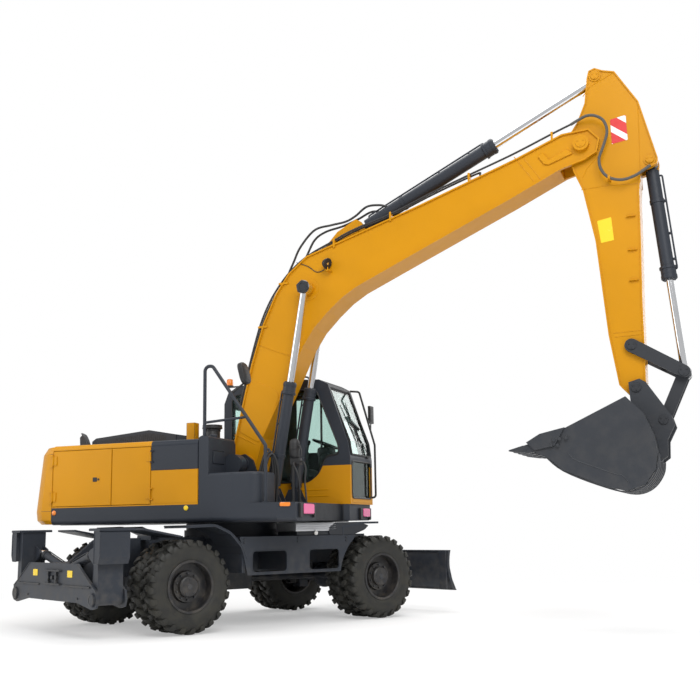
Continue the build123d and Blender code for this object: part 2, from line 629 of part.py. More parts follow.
# Engine housing: an open-sided shell with posts at the door seams and a hatch in its roof.
SILL = DECK + 18
DOOR_TOP = HOOD_TOP - 70
side_doors = [  # name, rear edge, front edge, side
    ("door_right_rear", TAIL_SEAM + 12, DOOR_SEAM - 4, -1),
    ("door_right_front", DOOR_SEAM + 4, PANEL_SEAM - 4, -1),
    ("door_left", TAIL_SEAM + 12, DOOR_SEAM - 4, 1),
]
with BuildPart() as hood_frame:
    block(TAIL_SEAM + 2, HOOD_FRONT, -HALF, BAY_RIGHT, DECK, HOOD_TOP)
    block(TAIL_SEAM + 2, BAY_REAR, BAY_RIGHT, CAB_RIGHT - 30, DECK, HOOD_TOP)
    block(TAIL_SEAM + 2, CAB_REAR - 30, CAB_RIGHT - 30, HALF, DECK, HOOD_TOP)
    top_edges = hood_frame.edges().filter_by(Axis.X).group_by(Axis.Z)[-1]
    fillet(top_edges.filter_by(lambda e: abs(e.center().Y) > HALF - 5), 55)
    block(TAIL_SEAM + WALL, PANEL_SEAM, -HALF + WALL, HALF - WALL, DECK - 1, HOOD_TOP - WALL, Mode.SUBTRACT)
    block(PANEL_SEAM + WALL, HOOD_FRONT - WALL, -HALF + WALL, BAY_RIGHT - WALL, DECK - 1,
          HOOD_TOP - WALL, Mode.SUBTRACT)
    for name, rear, front, side in side_doors:
        low, high = sorted((side * (HALF - WALL - 5), side * (HALF + 5)))
        block(rear - GAP, front + GAP, low, high, SILL - GAP, DOOR_TOP + GAP, Mode.SUBTRACT)
    block(LID_REAR - GAP, LID_FRONT + GAP, -LID_HALF - GAP, LID_HALF + GAP, HOOD_TOP - WALL - 5,
          HOOD_TOP + 5, Mode.SUBTRACT)
    slab([(LID_FRONT + GAP + 4, HOOD_TOP - 10), (LID_FRONT + GAP + 4, LID_TOP - 75), (-240, HOOD_TOP + 90),
          (-150, HOOD_TOP - 10)], -LID_HALF, CAB_RIGHT - 60)
    for name, rear, front, side in side_doors:
        edge, post = (front, 1) if name == "door_right_front" else (rear, -1)
        for level in (SILL + 120, DOOR_TOP - 120):
            hinge_pin((edge, side * (HALF + HINGE_OUT), level - HINGE_LONG / 2 - 12),
                      (edge, side * (HALF + HINGE_OUT), level + HINGE_LONG / 2 + 12),
                      (edge + post * 20, side * (HALF + 9), None), (40, 26, 14))
    for along_x in (LID_REAR + 180, LID_FRONT - 180):
        hinge_pin((along_x - HINGE_LONG / 2 - 12, -LID_HALF - 22, HOOD_TOP + HINGE_OUT),
                  (along_x + HINGE_LONG / 2 + 12, -LID_HALF - 22, HOOD_TOP + HINGE_OUT),
                  (None, -LID_HALF - 36, HOOD_TOP + 8), (14, 44, 30))
made.append((hood_frame, "hood_frame", "upper"))

for name, rear, front, side in side_doors:
    edge, inward = (front, -1) if name == "door_right_front" else (rear, 1)
    with BuildPart() as door:
        low, high = sorted((side * (HALF - WALL), side * HALF))
        block(rear, front, low, high, SILL, DOOR_TOP)
        for level in (SILL + 120, DOOR_TOP - 120):
            near, far = sorted((edge, edge + inward * 55))
            low, high = sorted((side * (HALF - 5), side * (HALF + HINGE_OUT)))
            hinge_sleeve((edge, side * (HALF + HINGE_OUT), level - HINGE_LONG / 2),
                         (edge, side * (HALF + HINGE_OUT), level + HINGE_LONG / 2),
                         (near, low, level - HINGE_LONG / 2), (far, high, level + HINGE_LONG / 2))
    made.append((door, name, "upper"))

# Engine hatch: a raised lid with slots along its side.
with BuildPart() as hood_lid:
    slab([(LID_REAR, HOOD_TOP - 38), (LID_REAR, LID_TOP - 110), (LID_REAR + 60, LID_TOP - 70),
          (-880, LID_TOP), (LID_FRONT, LID_TOP - 75), (LID_FRONT, HOOD_TOP - 38)], -LID_HALF, LID_HALF)
    slab([(LID_REAR + 35, HOOD_TOP - 39), (LID_REAR + 35, LID_TOP - 135), (LID_REAR + 75, LID_TOP - 105),
          (-880, LID_TOP - 35), (LID_FRONT - 35, LID_TOP - 112), (LID_FRONT - 35, HOOD_TOP - 39)],
         -LID_HALF + 35, LID_HALF - 35, Mode.SUBTRACT)
    for along_x in (LID_REAR + 180, LID_FRONT - 180):
        hinge_sleeve((along_x - HINGE_LONG / 2, -LID_HALF - 22, HOOD_TOP + HINGE_OUT),
                     (along_x + HINGE_LONG / 2, -LID_HALF - 22, HOOD_TOP + HINGE_OUT),
                     (along_x - HINGE_LONG / 2, -LID_HALF - 22, HOOD_TOP + HINGE_OUT),
                     (along_x + HINGE_LONG / 2, -LID_HALF + 5, HOOD_TOP + HINGE_OUT + 11))
made.append((hood_lid, "hood_lid", "upper"))

# Engine: one block on the platform, with its cooling pack beside it.
with BuildPart() as engine:
    block(-1700, -1010, -760, 420, DECK + RUN, 2060)
    block(-1720, -1000, 560, 800, DECK + RUN, 2080)
made.append((engine, "engine", "upper"))

# Fuel tank and tool box at the right front: a high part behind, a low part with a round corner in front.
with BuildPart() as tank:
    block(HOOD_FRONT + 8, TANK_FACE, -HALF + 5, -560, DECK, TANK_TOP)
    high_edges = tank.edges().filter_by(Axis.Y).group_by(Axis.Z)[-1]
    fillet(high_edges, 28)
    flat([(HOOD_FRONT + 8, -HALF + 5), (BOX_FACE, -HALF + 5), (BOX_FACE, -700), (HOOD_FRONT + 8, -700)], DECK, BOX_TOP)
    corner = tank.edges().filter_by(Axis.Z).filter_by(lambda e: e.center().X > BOX_FACE - 1)
    fillet(corner, 130)
    box_rim = tank.faces().filter_by(Axis.Z).filter_by(lambda f: abs(f.center().Z - BOX_TOP) < 1)
    fillet(box_rim.edges().filter_by(lambda e: e.center().X > TANK_FACE + 20), 34)
    bar((415, -800, 1925), (415, -640, 1925), 125)
    block(TANK_FACE - 12, TANK_FACE + 1, -1126, -839, 1917, 2081, Mode.SUBTRACT)
    block(TANK_FACE - 13, TANK_FACE - 4, -1112, -853, 1931, 2067)
made.append((tank, "tank", "upper"))

# Exhaust outlet, air cleaner and the box beside them, on the roof of the housing.
with BuildPart() as stacks:
    slab([(-1885, HOOD_TOP + RUN), (-1895, 2370), (-1870, 2395), (-1840, 2370), (-1790, HOOD_TOP + RUN)],
         -690, -600)
    bar((100, -720, HOOD_TOP + RUN), (100, -720, 2390), 95)
    bar((100, -720, 2385), (100, -720, 2425), 122)
    block(-246, -130, -760, -650, HOOD_TOP + RUN, 2468)
made.append((stacks, "stacks", "upper"))

# Cab: a hollow shell with its windows and doorway cut, a separate door and separate panes.
cab_profile = [(CAB_REAR, DECK + RUN), (CAB_REAR, 2840), (CAB_REAR + 60, 2990), (CAB_REAR + 180, 3060), (100, CAB_TOP),
               (1060, CAB_TOP - 20), (1190, CAB_TOP - 90), (CAB_FRONT - 30, 2240), (CAB_FRONT, 2040),
               (CAB_FRONT, DECK + RUN)]
with BuildPart() as cab:
    slab(cab_profile, CAB_RIGHT, CAB_LEFT)
    inside = [(CAB_REAR + CAB_WALL, DECK + 50), (CAB_REAR + CAB_WALL, 2830), (CAB_REAR + 98, 2960),
              (CAB_REAR + 200, 3018), (110, CAB_TOP - CAB_WALL), (1040, CAB_TOP - 65), (1155, CAB_TOP - 125),
              (CAB_FRONT - 75, 2230), (CAB_FRONT - CAB_WALL, 2030), (CAB_FRONT - CAB_WALL, DECK + 50)]
    slab(inside, CAB_RIGHT + CAB_WALL, CAB_LEFT - CAB_WALL, Mode.SUBTRACT)
    right_window = [(-230, 2080), (-230, 2900), (-150, 2960), (1020, 2960), (1330, 2200), (1330, 2085), (1160, 2070),
                    (1040, 1840), (900, 1740), (300, 1740), (100, 1800), (0, 2000)]
    slab(right_window, CAB_RIGHT - 10, CAB_RIGHT + CAB_WALL + 10, Mode.SUBTRACT)
    slab([(DOOR_REAR - GAP, 1500 - GAP), (DOOR_REAR - GAP, 3010), (DOOR_FRONT - 20, 3010),
          (1350, 2240), (1400, 2040), (1400, 1500 - GAP)],
         CAB_LEFT - CAB_WALL - 10, CAB_LEFT + 10, Mode.SUBTRACT)
    slab([(-240, 2000), (-240, 2900), (50, 2900), (50, 2000)], CAB_LEFT - CAB_WALL - 10, CAB_LEFT + 10,
         Mode.SUBTRACT)
    block(CAB_REAR - 10, CAB_REAR + CAB_WALL + 10, CAB_RIGHT + 250, CAB_LEFT - 110, 2050, 2800, Mode.SUBTRACT)
    block(CAB_FRONT - CAB_WALL - 10, CAB_FRONT + 10, CAB_RIGHT + 55, CAB_LEFT - 55, 1520, 2000, Mode.SUBTRACT)
    screen = [(1180, 2960), (1250, 3060), (CAB_FRONT + 40, 2270), (CAB_FRONT + 30, 2080),
              (CAB_FRONT - 60, 2080), (CAB_FRONT - 90, 2240)]
    slab(screen, CAB_RIGHT + 55, CAB_LEFT - 55, Mode.SUBTRACT)
    for level in (1680, 2860):
        hinge_pin((DOOR_REAR, CAB_LEFT + HINGE_OUT, level - HINGE_LONG / 2 - 12),
                  (DOOR_REAR, CAB_LEFT + HINGE_OUT, level + HINGE_LONG / 2 + 12),
                  (DOOR_REAR - 20, CAB_LEFT + 9, None), (40, 26, 14))
made.append((cab, "cab", "upper"))

door_rim = [(DOOR_REAR, 1500), (DOOR_REAR, 3004), (DOOR_FRONT - 24, 3004), (1343, 2238), (1393, 2038),
            (1393, 1500)]
door_window = [(DOOR_REAR + 60, 2080), (DOOR_REAR + 60, 2944), (DOOR_FRONT - 60, 2944), (1285, 2225),
               (1320, 2080)]
with BuildPart() as cab_door:
    slab(door_rim, CAB_LEFT - CAB_WALL, CAB_LEFT)
    slab(door_window, CAB_LEFT - CAB_WALL - 5, CAB_LEFT + 5, Mode.SUBTRACT)
    for level in (1680, 2860):
        hinge_sleeve((DOOR_REAR, CAB_LEFT + HINGE_OUT, level - HINGE_LONG / 2),
                     (DOOR_REAR, CAB_LEFT + HINGE_OUT, level + HINGE_LONG / 2),
                     (DOOR_REAR, CAB_LEFT - 5, level - HINGE_LONG / 2),
                     (DOOR_REAR + 50, CAB_LEFT + HINGE_OUT, level + HINGE_LONG / 2))
made.append((cab_door, "cab_door", "upper"))

with BuildPart() as door_glass:
    pane(door_window, CAB_LEFT - 28, CAB_LEFT - 28 + GLASS_T)
made.append((door_glass, "door_glass", "upper"))

with BuildPart() as cab_glass:
    pane(right_window, CAB_RIGHT + 15, CAB_RIGHT + 15 + GLASS_T)
    block(-239.5, 49.5, CAB_LEFT - 28, CAB_LEFT - 28 + GLASS_T, 2000.5, 2899.5)
    block(CAB_REAR + 15, CAB_REAR + 15 + GLASS_T, CAB_RIGHT + 250.5, CAB_LEFT - 110.5, 2050.5, 2799.5)
    block(CAB_FRONT - 25, CAB_FRONT - 25 + GLASS_T, CAB_RIGHT + 55.5, CAB_LEFT - 55.5, 1520.5, 1999.5)
    slab([(1188, 2950), (1197, 2953), (CAB_FRONT - 36, 2260), (CAB_FRONT - 16, 2081),
          (CAB_FRONT - 24, 2081), (CAB_FRONT - 44, 2258)], CAB_RIGHT + 55.5, CAB_LEFT - 55.5)
made.append((cab_glass, "cab_glass", "upper"))

# Seat with its two consoles, the pedals' floor column and the steering wheel.
CAB_MID = (CAB_RIGHT + CAB_LEFT) / 2
with BuildPart() as seat:
    block(250, 760, CAB_MID - 130, CAB_MID + 130, DECK + 50.2, 1800)
    slab([(230, 1800), (230, 1930), (290, 1950), (790, 1930), (810, 1850), (780, 1800)], CAB_MID - 240,
         CAB_MID + 240)
    slab([(160, 1930), (40, 2620), (90, 2660), (160, 2640), (330, 1960), (300, 1900)], CAB_MID - 220,
         CAB_MID + 220)
made.append((seat, "seat", "upper"))
with BuildPart() as controls:
    for side in (-1, 1):
        middle = CAB_MID + side * 305
        block(330, 820, middle - 50, middle + 50, 1800, 1985)
        bar((790, middle, 1980), (830, middle, 2170), 14)
        bar((826, middle, 2150), (842, middle, 2230), 26)
        block(420, 560, middle - 30, middle + 30, DECK + 50.2, 1800)
    block(1240, 1340, CAB_MID - 60, CAB_MID + 60, DECK + 50.2, DECK + 110)
    bar((1290, CAB_MID, DECK + 70), (1178, CAB_MID, 2106), 36)
    with Locations(Plane(origin=(1175, CAB_MID, 2110), z_dir=(-0.35, 0, 1))):
        Torus(170, 15)
        Cylinder(155, 14)
made.append((controls, "controls", "upper"))

# Handrail with its middle rail, at the right front.
RAIL_Y = -1150
RAIL_REAR = 232
RAIL_TURN = (335, 3095)
RAIL_KNEE = (1043, 2106)
with BuildPart() as handrail:
    tube([(RAIL_REAR, RAIL_Y, TANK_TOP + RUN), (RAIL_REAR, RAIL_Y, 3095), (RAIL_TURN[0], RAIL_Y, 3095),
          (RAIL_KNEE[0], RAIL_Y, RAIL_KNEE[1]), (RAIL_KNEE[0], RAIL_Y, DECK + RUN)], 60, 21)
    bar((RAIL_REAR, RAIL_Y, 2412), (795, RAIL_Y, 2451), 16)
    bar((RAIL_KNEE[0], RAIL_Y, DECK + RUN), (RAIL_KNEE[0], RAIL_Y, DECK + 14), 44)
    bar((RAIL_REAR, RAIL_Y, TANK_TOP + RUN), (RAIL_REAR, RAIL_Y, TANK_TOP + 12), 32)
made.append((handrail, "handrail", "upper"))

# Mirrors and the grab rail in front of the cab.
with BuildPart() as mirrors:
    rail_down = (Vector(RAIL_KNEE[0], 0, RAIL_KNEE[1]) - Vector(RAIL_TURN[0], 0, RAIL_TURN[1])).normalized()
    rail_out = Vector(-rail_down.Z, 0, rail_down.X)
    clamp = Vector(RAIL_TURN[0], RAIL_Y, RAIL_TURN[1]) + rail_down * 437
    bar(clamp + rail_out * (21 + RUN), clamp + rail_out * 85, 12)
    bar(clamp + rail_out * 74, (793, RAIL_Y, 2880), 12)
    with BuildSketch(Plane(origin=(746, RAIL_Y - 12, 2966), x_dir=(0, 1, 0), z_dir=(0.968, 0, 0.25))):
        RectangleRounded(190, 268, 80)
    extrude(amount=44)
    tube([(1208, CAB_LEFT - 60, 3010), (1330, CAB_LEFT - 20, 3000), (1545, CAB_LEFT - 20, 2250),
          (1545, CAB_LEFT - 20, 1540), (CAB_FRONT + RUN, CAB_LEFT - 20, 1540)], 40, 14)
    block(1440, 1475, CAB_LEFT + 20, CAB_LEFT + 155, 2560, 2800)
    bar((1458, CAB_LEFT - 20, 2560), (1458, CAB_LEFT + 40, 2620), 9)
    bar((1490, CAB_LEFT - 20, 2440), (1458, CAB_LEFT + 80, 2590), 9)
made.append((mirrors, "mirrors", "upper"))

# Lamps on the platform's nose, on the boom side and on the cab's roof.
with BuildPart() as lamps:
    for lamp_y, face_x, half, low, high in ((-745, PLATFORM_FRONT, 160, 1301, 1434), (978, CAB_FRONT - 20, 134, 1275, 1396)):
        block(face_x, face_x + 24, lamp_y - half, lamp_y + half, low, high)
    slab([(-150, 3064.2), (-60, 3081), (-60, 3096), (-370, 3096), (-370, 3084), (-150, 3084)], CAB_RIGHT + 85,
         CAB_RIGHT + 155)
    bar((-330, CAB_RIGHT + 120, 3096), (-330, CAB_RIGHT + 120, 3196), 42)
made.append((lamps, "lamps", "upper"))

# Boom: a bent box with its foot, its forked tip and the ears of the arm's cylinder.
TIP_X = FOOT_X + BOOM_REACH
TIP_Z = FOOT_Z + BOOM_RISE
boom_outline = about([
    (-175, 40), (-185, 250), (-60, 760), (70, 1280), (240, 1800), (420, 2180), (600, 2430), (860, 2640),
    (1250, 2760), (2435, 3132), (3645, 3542), (4200, 3760), (4520, 3780), (4640, 3640), (4600, 3480),
    (4450, 3400), (4180, 3330), (3540, 3035), (2415, 2545), (1915, 2325), (1540, 2160), (1345, 2040),
    (1155, 1880), (955, 1680), (800, 1450), (545, 930), (230, 320), (120, -80), (0, -160), (-120, -110),
], FOOT_X, FOOT_Z)
FORK_IN = ARM_HALF + GAP + 1
with BuildPart() as boom:
    slab(boom_outline, -BOOM_HALF, BOOM_HALF)
    slab(about([(-270, -500), (530, -500), (530, 500), (-800, 500), (-800, -60), (-600, 30), (-500, 30),
                (-330, -50), (-270, -80)], TIP_X, TIP_Z), -FORK_IN, FORK_IN, Mode.SUBTRACT)
    bar((TIP_X, -FORK_IN, TIP_Z), (TIP_X, FORK_IN, TIP_Z), 215, Mode.SUBTRACT)
    for ear in (-1, 1):
        low, high = sorted((ear * EAR_IN, ear * EAR_OUT))
        slab(about([(-445, -240), (-437, -175), (-277, -6), (-21, 132), (50, 88), (88, 10), (165, -110)],
                   ARM_CYL_X, ARM_CYL_Z), low, high, round_by=12)
        low, high = sorted((ear * (BOOM_HALF - WEB_INSET), ear * (BOOM_HALF + 1)))
        panel(boom_outline, RIM_WIDE, low, high)
        low, high = sorted((ear * (BOOM_HALF - WEB_INSET - 2), ear * (BOOM_CYL_Y - EYE_HALF - 5)))
        bar((BOOM_EYE_X, low, BOOM_EYE_Z), (BOOM_EYE_X, high, BOOM_EYE_Z), 85)
        low, high = sorted((ear * (BOOM_HALF - WEB_INSET - 2), ear * (BOOM_HALF + 45)))
        bar((TIP_X, low, TIP_Z), (TIP_X, high, TIP_Z), 95)
        low, high = sorted((ear * (BOOM_HALF - WEB_INSET - 2), ear * BOOM_HALF))
        bar((FOOT_X, low, FOOT_Z), (FOOT_X, high, FOOT_Z), 110)
    cross_bar(TIP_X, TIP_Z, BOOM_HALF + 30, ARM_PIN_R)
    cross_bar(ARM_CYL_X, ARM_CYL_Z, EAR_OUT + 4, CYL_PIN_R)
    cross_bar(FOOT_X, FOOT_Z, BOOM_HALF + 1, FOOT_PIN_R + RUN, Mode.SUBTRACT)
made.append((boom, "boom", "boom"))

# Steel pipes to the arm's hoses, along the top of the boom's right web and down its back, in clamps.
PIPE_Y = -(BOOM_HALF + 22)
pipe_line = [(330, 3150), (430, 3560), (600, 3960), (760, 4215), (960, 4430), (1230, 4610), (1500, 4722), (3300, 5310),
             (4380, 5705), (4640, 5790)]
with BuildPart() as boom_hoses:
    for row in (0, 62):
        run = [(x + row * 0.45, PIPE_Y, z - row) for x, z in pipe_line]
        tube(run, 150, 17)
    for clamp_x, clamp_z in ((620, 3950), (1850, 4805), (2750, 5098), (3650, 5400)):
        block(clamp_x - 25, clamp_x + 25, PIPE_Y - 24, -(BOOM_HALF + RUN), clamp_z - 95, clamp_z + 45)
made.append((boom_hoses, "boom_hoses", "boom"))

boom_base = (BOOM_CYL_X, BOOM_CYL_Z)
boom_eye = (BOOM_EYE_X, BOOM_EYE_Z)
with BuildPart() as boom_barrels:
    for side in (-1, 1):
        barrel((BOOM_CYL_X, side * BOOM_CYL_Y, BOOM_CYL_Z), (BOOM_EYE_X, side * BOOM_CYL_Y, BOOM_EYE_Z),
               BOOM_BARREL, BOOM_CYL_R / 1.14, EYE_HALF, BOOM_ROD_R, CYL_PIN_R)
made.append((boom_barrels, "boom_barrels", "boom"))
with BuildPart() as boom_rods:
    for side in (-1, 1):
        rod((BOOM_CYL_X, side * BOOM_CYL_Y, BOOM_CYL_Z), (BOOM_EYE_X, side * BOOM_CYL_Y, BOOM_EYE_Z),
            span(boom_base, boom_eye) - 860, BOOM_ROD_R, 88, EYE_HALF)
made.append((boom_rods, "boom_rods", "boom"))

# Arm: deep at its pin, with ears for its own cylinder and for the bucket's, slender below.
arm_outline = about([
    (255, -2900), (172, -2323), (91, -1193), (-19, -563), (-110, -330), (-165, -100), (-160, 120),
    (-40, 290), (61, 517), (105, 830), (130, 920), (201, 945), (290, 900), (430, 860), (681, 437),
    (851, -283), (840, -350), (760, -385), (651, -403), (621, -653), (600, -1253), (570, -1973),
    (555, -2640), (545, -2960), (490, -3045), (400, -3050), (335, -2990),
], TIP_X, TIP_Z)
ARM_EYE = (TIP_X + ARM_EYE_X, TIP_Z + ARM_EYE_Z)
BUCKET_BASE = (TIP_X + BUCKET_CYL_X, TIP_Z + BUCKET_CYL_Z)
BUCKET_PIN = (TIP_X + BUCKET_X, TIP_Z + BUCKET_Z)
IDLER_PIN = (TIP_X + IDLER_X, TIP_Z + IDLER_Z)
JOINT_PIN = (TIP_X + JOINT_X, TIP_Z + JOINT_Z)
LINK_PIN = (BUCKET_PIN[0] + LINK_X, BUCKET_PIN[1] + LINK_Z)
with BuildPart() as arm:
    slab(arm_outline, -ARM_HALF, ARM_HALF)
    slab(about([(-420, -292), (-150, -248), (40, -248), (98, -170), (106, -62), (245, 48), (300, 120), (300, 300),
                (-420, 300)], *ARM_EYE),
         -EAR_IN, EAR_IN, Mode.SUBTRACT)
    slab(about([(-110, -600), (-110, 120), (300, 120), (300, -600)], *BUCKET_BASE),
         -EAR_IN - 28, EAR_IN + 28, Mode.SUBTRACT)
    for ear in (-1, 1):
        low, high = sorted((ear * (ARM_HALF - ARM_INSET), ear * (ARM_HALF + 1)))
        panel(arm_outline, RIM_WIDE - 2, low, high)
        low, high = sorted((ear * (ARM_HALF - ARM_INSET - 2), ear * ARM_HALF))
        for place, boss_r in ((ARM_EYE, 72), (BUCKET_BASE, 70), (IDLER_PIN, 62), (BUCKET_PIN, 84), ((TIP_X, TIP_Z), 105)):
            bar((place[0], low, place[1]), (place[0], high, place[1]), boss_r)
    cross_bar(*IDLER_PIN, ARM_HALF + 42, PIN_R - 5)
    cross_bar(*BUCKET_BASE, ARM_HALF + 8, CYL_PIN_R)
    cross_bar(TIP_X, TIP_Z, ARM_HALF + 1, ARM_PIN_R + RUN, Mode.SUBTRACT)
    cross_bar(*BUCKET_PIN, ARM_HALF + 1, PIN_R + RUN, Mode.SUBTRACT)
made.append((arm, "arm", "boom"))

with BuildPart() as arm_barrel:
    barrel((ARM_CYL_X, 0, ARM_CYL_Z), (ARM_EYE[0], 0, ARM_EYE[1]), ARM_BARREL, ARM_CYL_R, EYE_HALF,
           ARM_ROD_R, CYL_PIN_R)
made.append((arm_barrel, "arm_barrel", "boom"))
with BuildPart() as arm_rod:
    rod((ARM_CYL_X, 0, ARM_CYL_Z), (ARM_EYE[0], 0, ARM_EYE[1]), ARM_ROD, ARM_ROD_R, 85, EYE_HALF)
made.append((arm_rod, "arm_rod", "boom"))
with BuildPart() as bucket_barrel:
    barrel((BUCKET_BASE[0], 0, BUCKET_BASE[1]), (JOINT_PIN[0], 0, JOINT_PIN[1]), BUCKET_BARREL,
           BUCKET_CYL_R, EYE_HALF, BUCKET_ROD_R, CYL_PIN_R)
made.append((bucket_barrel, "bucket_barrel", "boom"))
with BuildPart() as bucket_rod:
    rod((BUCKET_BASE[0], 0, BUCKET_BASE[1]), (JOINT_PIN[0], 0, JOINT_PIN[1]), 1290, BUCKET_ROD_R, 78, EYE_HALF)
made.append((bucket_rod, "bucket_rod", "boom"))


def link_plate(start, end, radius_a, radius_b, y_low, y_high):
    """A flat link: two round ends joined by their tangent plate."""
    turn = atan2(end[1] - start[1], end[0] - start[0])
    side_x, side_z = -sin(turn), cos(turn)
    corners = [
        (start[0] + side_x * radius_a, start[1] + side_z * radius_a),
        (end[0] + side_x * radius_b, end[1] + side_z * radius_b),
        (end[0] - side_x * radius_b, end[1] - side_z * radius_b),
        (start[0] - side_x * radius_a, start[1] - side_z * radius_a),
    ]
    slab(corners, y_low, y_high)
    bar((start[0], y_low, start[1]), (start[0], y_high, start[1]), radius_a)
    bar((end[0], y_low, end[1]), (end[0], y_high, end[1]), radius_b)


IDLER_IN = ARM_HALF + 7
IDLER_OUT = IDLER_IN + 35
# Rocker arms of the bucket's linkage.
with BuildPart() as idler:
    for side in (-1, 1):
        low, high = sorted((side * IDLER_IN, side * IDLER_OUT))
        link_plate(IDLER_PIN, JOINT_PIN, 78, 68, low, high)
    between = [IDLER_PIN[k] + (JOINT_PIN[k] - IDLER_PIN[k]) * 0.6 for k in (0, 1)]
    cross_bar(*between, IDLER_IN + 1, 35)
    cross_bar(*IDLER_PIN, IDLER_OUT + 1, PIN_R - 5 + RUN, Mode.SUBTRACT)
made.append((idler, "idler", "boom"))

# Link from the rocker's end to the bucket.
with BuildPart() as bucket_link:
    for side in (-1, 1):
        low, high = sorted((side * (EYE_HALF + 7), side * (EYE_HALF + 60)))
        link_plate(LINK_PIN, JOINT_PIN, 66, 66, low, high)
    cross_bar(*LINK_PIN, ARM_HALF, 66)
    cross_bar(*LINK_PIN, ARM_HALF + 1, PIN_R + RUN, Mode.SUBTRACT)
made.append((bucket_link, "bucket_link", "boom"))

# Bucket: a curved shell between two cheeks, with ears, a lip, teeth and side cutters.
bucket_outline = about([
    (-90, -135), (-1040, -575), (-1110, -640), (-810, -905), (-390, -1090), (-130, -1155), (60, -1090),
    (180, -930), (205, -760), (180, -560), (90, -330),
], *BUCKET_PIN)
with BuildPart() as bucket:
    slab(bucket_outline, -BUCKET_HALF, BUCKET_HALF)
    hollow = about([
        (-85, -175), (-150, -120), (-1100, -520), (-1062, -632), (-795, -878), (-380, -1062), (-130, -1124),
        (42, -1068), (152, -920), (176, -760), (152, -570), (66, -345),
    ], *BUCKET_PIN)
    slab(hollow, -BUCKET_HALF + BUCKET_T, BUCKET_HALF - BUCKET_T, Mode.SUBTRACT)
    ear_outline = about([(-80, 60), (40, 95), (110, 50), (355, -335), (385, -440), (300, -600), (290, -780),
                         (196, -850), (150, -560), (60, -330), (-70, -150)], *BUCKET_PIN)
    for side in (-1, 1):
        low, high = sorted((side * IDLER_IN, side * (IDLER_IN + 50)))
        slab(ear_outline, low, high)
        low, high = sorted((side * (BUCKET_HALF - 1), side * (BUCKET_HALF + 24)))
        slab(about([(-760, -440), (-1040, -500), (-1195, -590), (-1100, -680), (-880, -640)], *BUCKET_PIN),
             low, high)
    slab(about([(-960, -770), (-1010, -745), (-1180, -660), (-1190, -645), (-1110, -625), (-1080, -640)],
               *BUCKET_PIN), -BUCKET_HALF, BUCKET_HALF)
    for tooth in range(5):
        tooth_y = (tooth - 2) * (BUCKET_HALF - 50) / 2
        slab(about([(-1120, -700), (-1150, -620), (-1240, -620), (-1400, -664), (-1400, -676), (-1250, -700)],
                   *BUCKET_PIN), tooth_y - 42, tooth_y + 42)
    cross_bar(*BUCKET_PIN, IDLER_IN + 56, PIN_R)
    cross_bar(*LINK_PIN, IDLER_IN + 56, PIN_R)
made.append((bucket, "bucket", "boom"))

UNDER = Location((SLEW_X, SLEW_Y, 0), (0, 0, SWING))
UPPER = Location((SLEW_X, SLEW_Y, 0))
os.makedirs("parts", exist_ok=True)
for piece, name, frame in made:
    piece.part.label = name
    export_step(piece.part.moved(UNDER if frame == "under" else UPPER), "parts/" + name + ".step")
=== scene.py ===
"""Looks of a wheeled excavator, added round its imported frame."""
import math

import bmesh
import bpy
import numpy as np
from bpy.props import FloatVectorProperty, IntProperty, PointerProperty
from mathutils import Matrix, Vector


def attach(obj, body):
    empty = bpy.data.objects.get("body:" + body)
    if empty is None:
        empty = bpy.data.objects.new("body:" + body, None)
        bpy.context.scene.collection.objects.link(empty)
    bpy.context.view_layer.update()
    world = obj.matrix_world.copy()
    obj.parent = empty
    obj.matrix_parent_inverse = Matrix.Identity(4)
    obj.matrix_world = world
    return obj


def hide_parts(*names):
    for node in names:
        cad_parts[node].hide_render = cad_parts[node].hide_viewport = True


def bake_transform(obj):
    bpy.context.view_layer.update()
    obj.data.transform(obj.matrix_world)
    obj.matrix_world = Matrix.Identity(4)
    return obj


bl_info = {
    "name": "Wheeled Excavator Finish",
    "version": (1, 0, 0),
    "blender": (4, 5, 0),
    "location": "View3D > Sidebar > Excavator",
    "description": "Tyres, paint, trim, glass and a studio for a wheeled excavator",
    "category": "Object",
}

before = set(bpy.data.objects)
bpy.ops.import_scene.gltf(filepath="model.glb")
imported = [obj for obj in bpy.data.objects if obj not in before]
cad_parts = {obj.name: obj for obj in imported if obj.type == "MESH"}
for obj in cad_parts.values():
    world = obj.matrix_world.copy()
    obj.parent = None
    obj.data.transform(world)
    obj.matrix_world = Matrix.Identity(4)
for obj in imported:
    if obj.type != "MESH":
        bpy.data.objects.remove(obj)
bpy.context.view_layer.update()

# Places shared with the part's source, in millimetres. The upper works have x forward along the boom,
# the undercarriage x towards its blade, both from the slewing axis at floor level.
MM = 0.001
SLEW = np.array((-1686.0, -164.0, 0.0))
SWING = math.radians(60)
UP = (0, 0, 1)
# Tyres: outer radius, width, the twins' middle, half the step between them, the bead's radius; then the axles.
TYRE_R, TYRE_W, HALF_TRACK, TWIN_STEP, BEAD_R = 520, 270, 950, 160, 288
REAR_X, FRONT_X = -1300, 1500
# The undercarriage's side plates, the rear face of the stabilisers' beam, the face of the hubs.
SIDE_PLATE, BEAM_BACK, HUB_FACE = 1160, -2400, 1197
# The upper works: half width, seams from the tail forward, the housing's top, the deck and the belly.
HALF, TAIL_SEAM, PANEL_SEAM, HOOD_TOP, DECK, BELLY = 1230, -1896, -456, 2220, 1442, 1221
LID_HALF, LATCH_X = 620, -1242
CAB_RIGHT, CAB_LEFT, CAB_REAR, CAB_FRONT, CAB_TOP = 425, 1245, -350, 1490, 3110
CAB_MID = (CAB_RIGHT + CAB_LEFT) / 2
RAIL_Y, BOX_SEAM = -1150, 640
CLEANER, VALVE, STEERING = (100, -720, 2222), (1112, -478), (975, CAB_MID, 2262)
BEACON, CORNER_LAMP = (-330, CAB_RIGHT + 120, 3097), (1292, -1162, 1416)
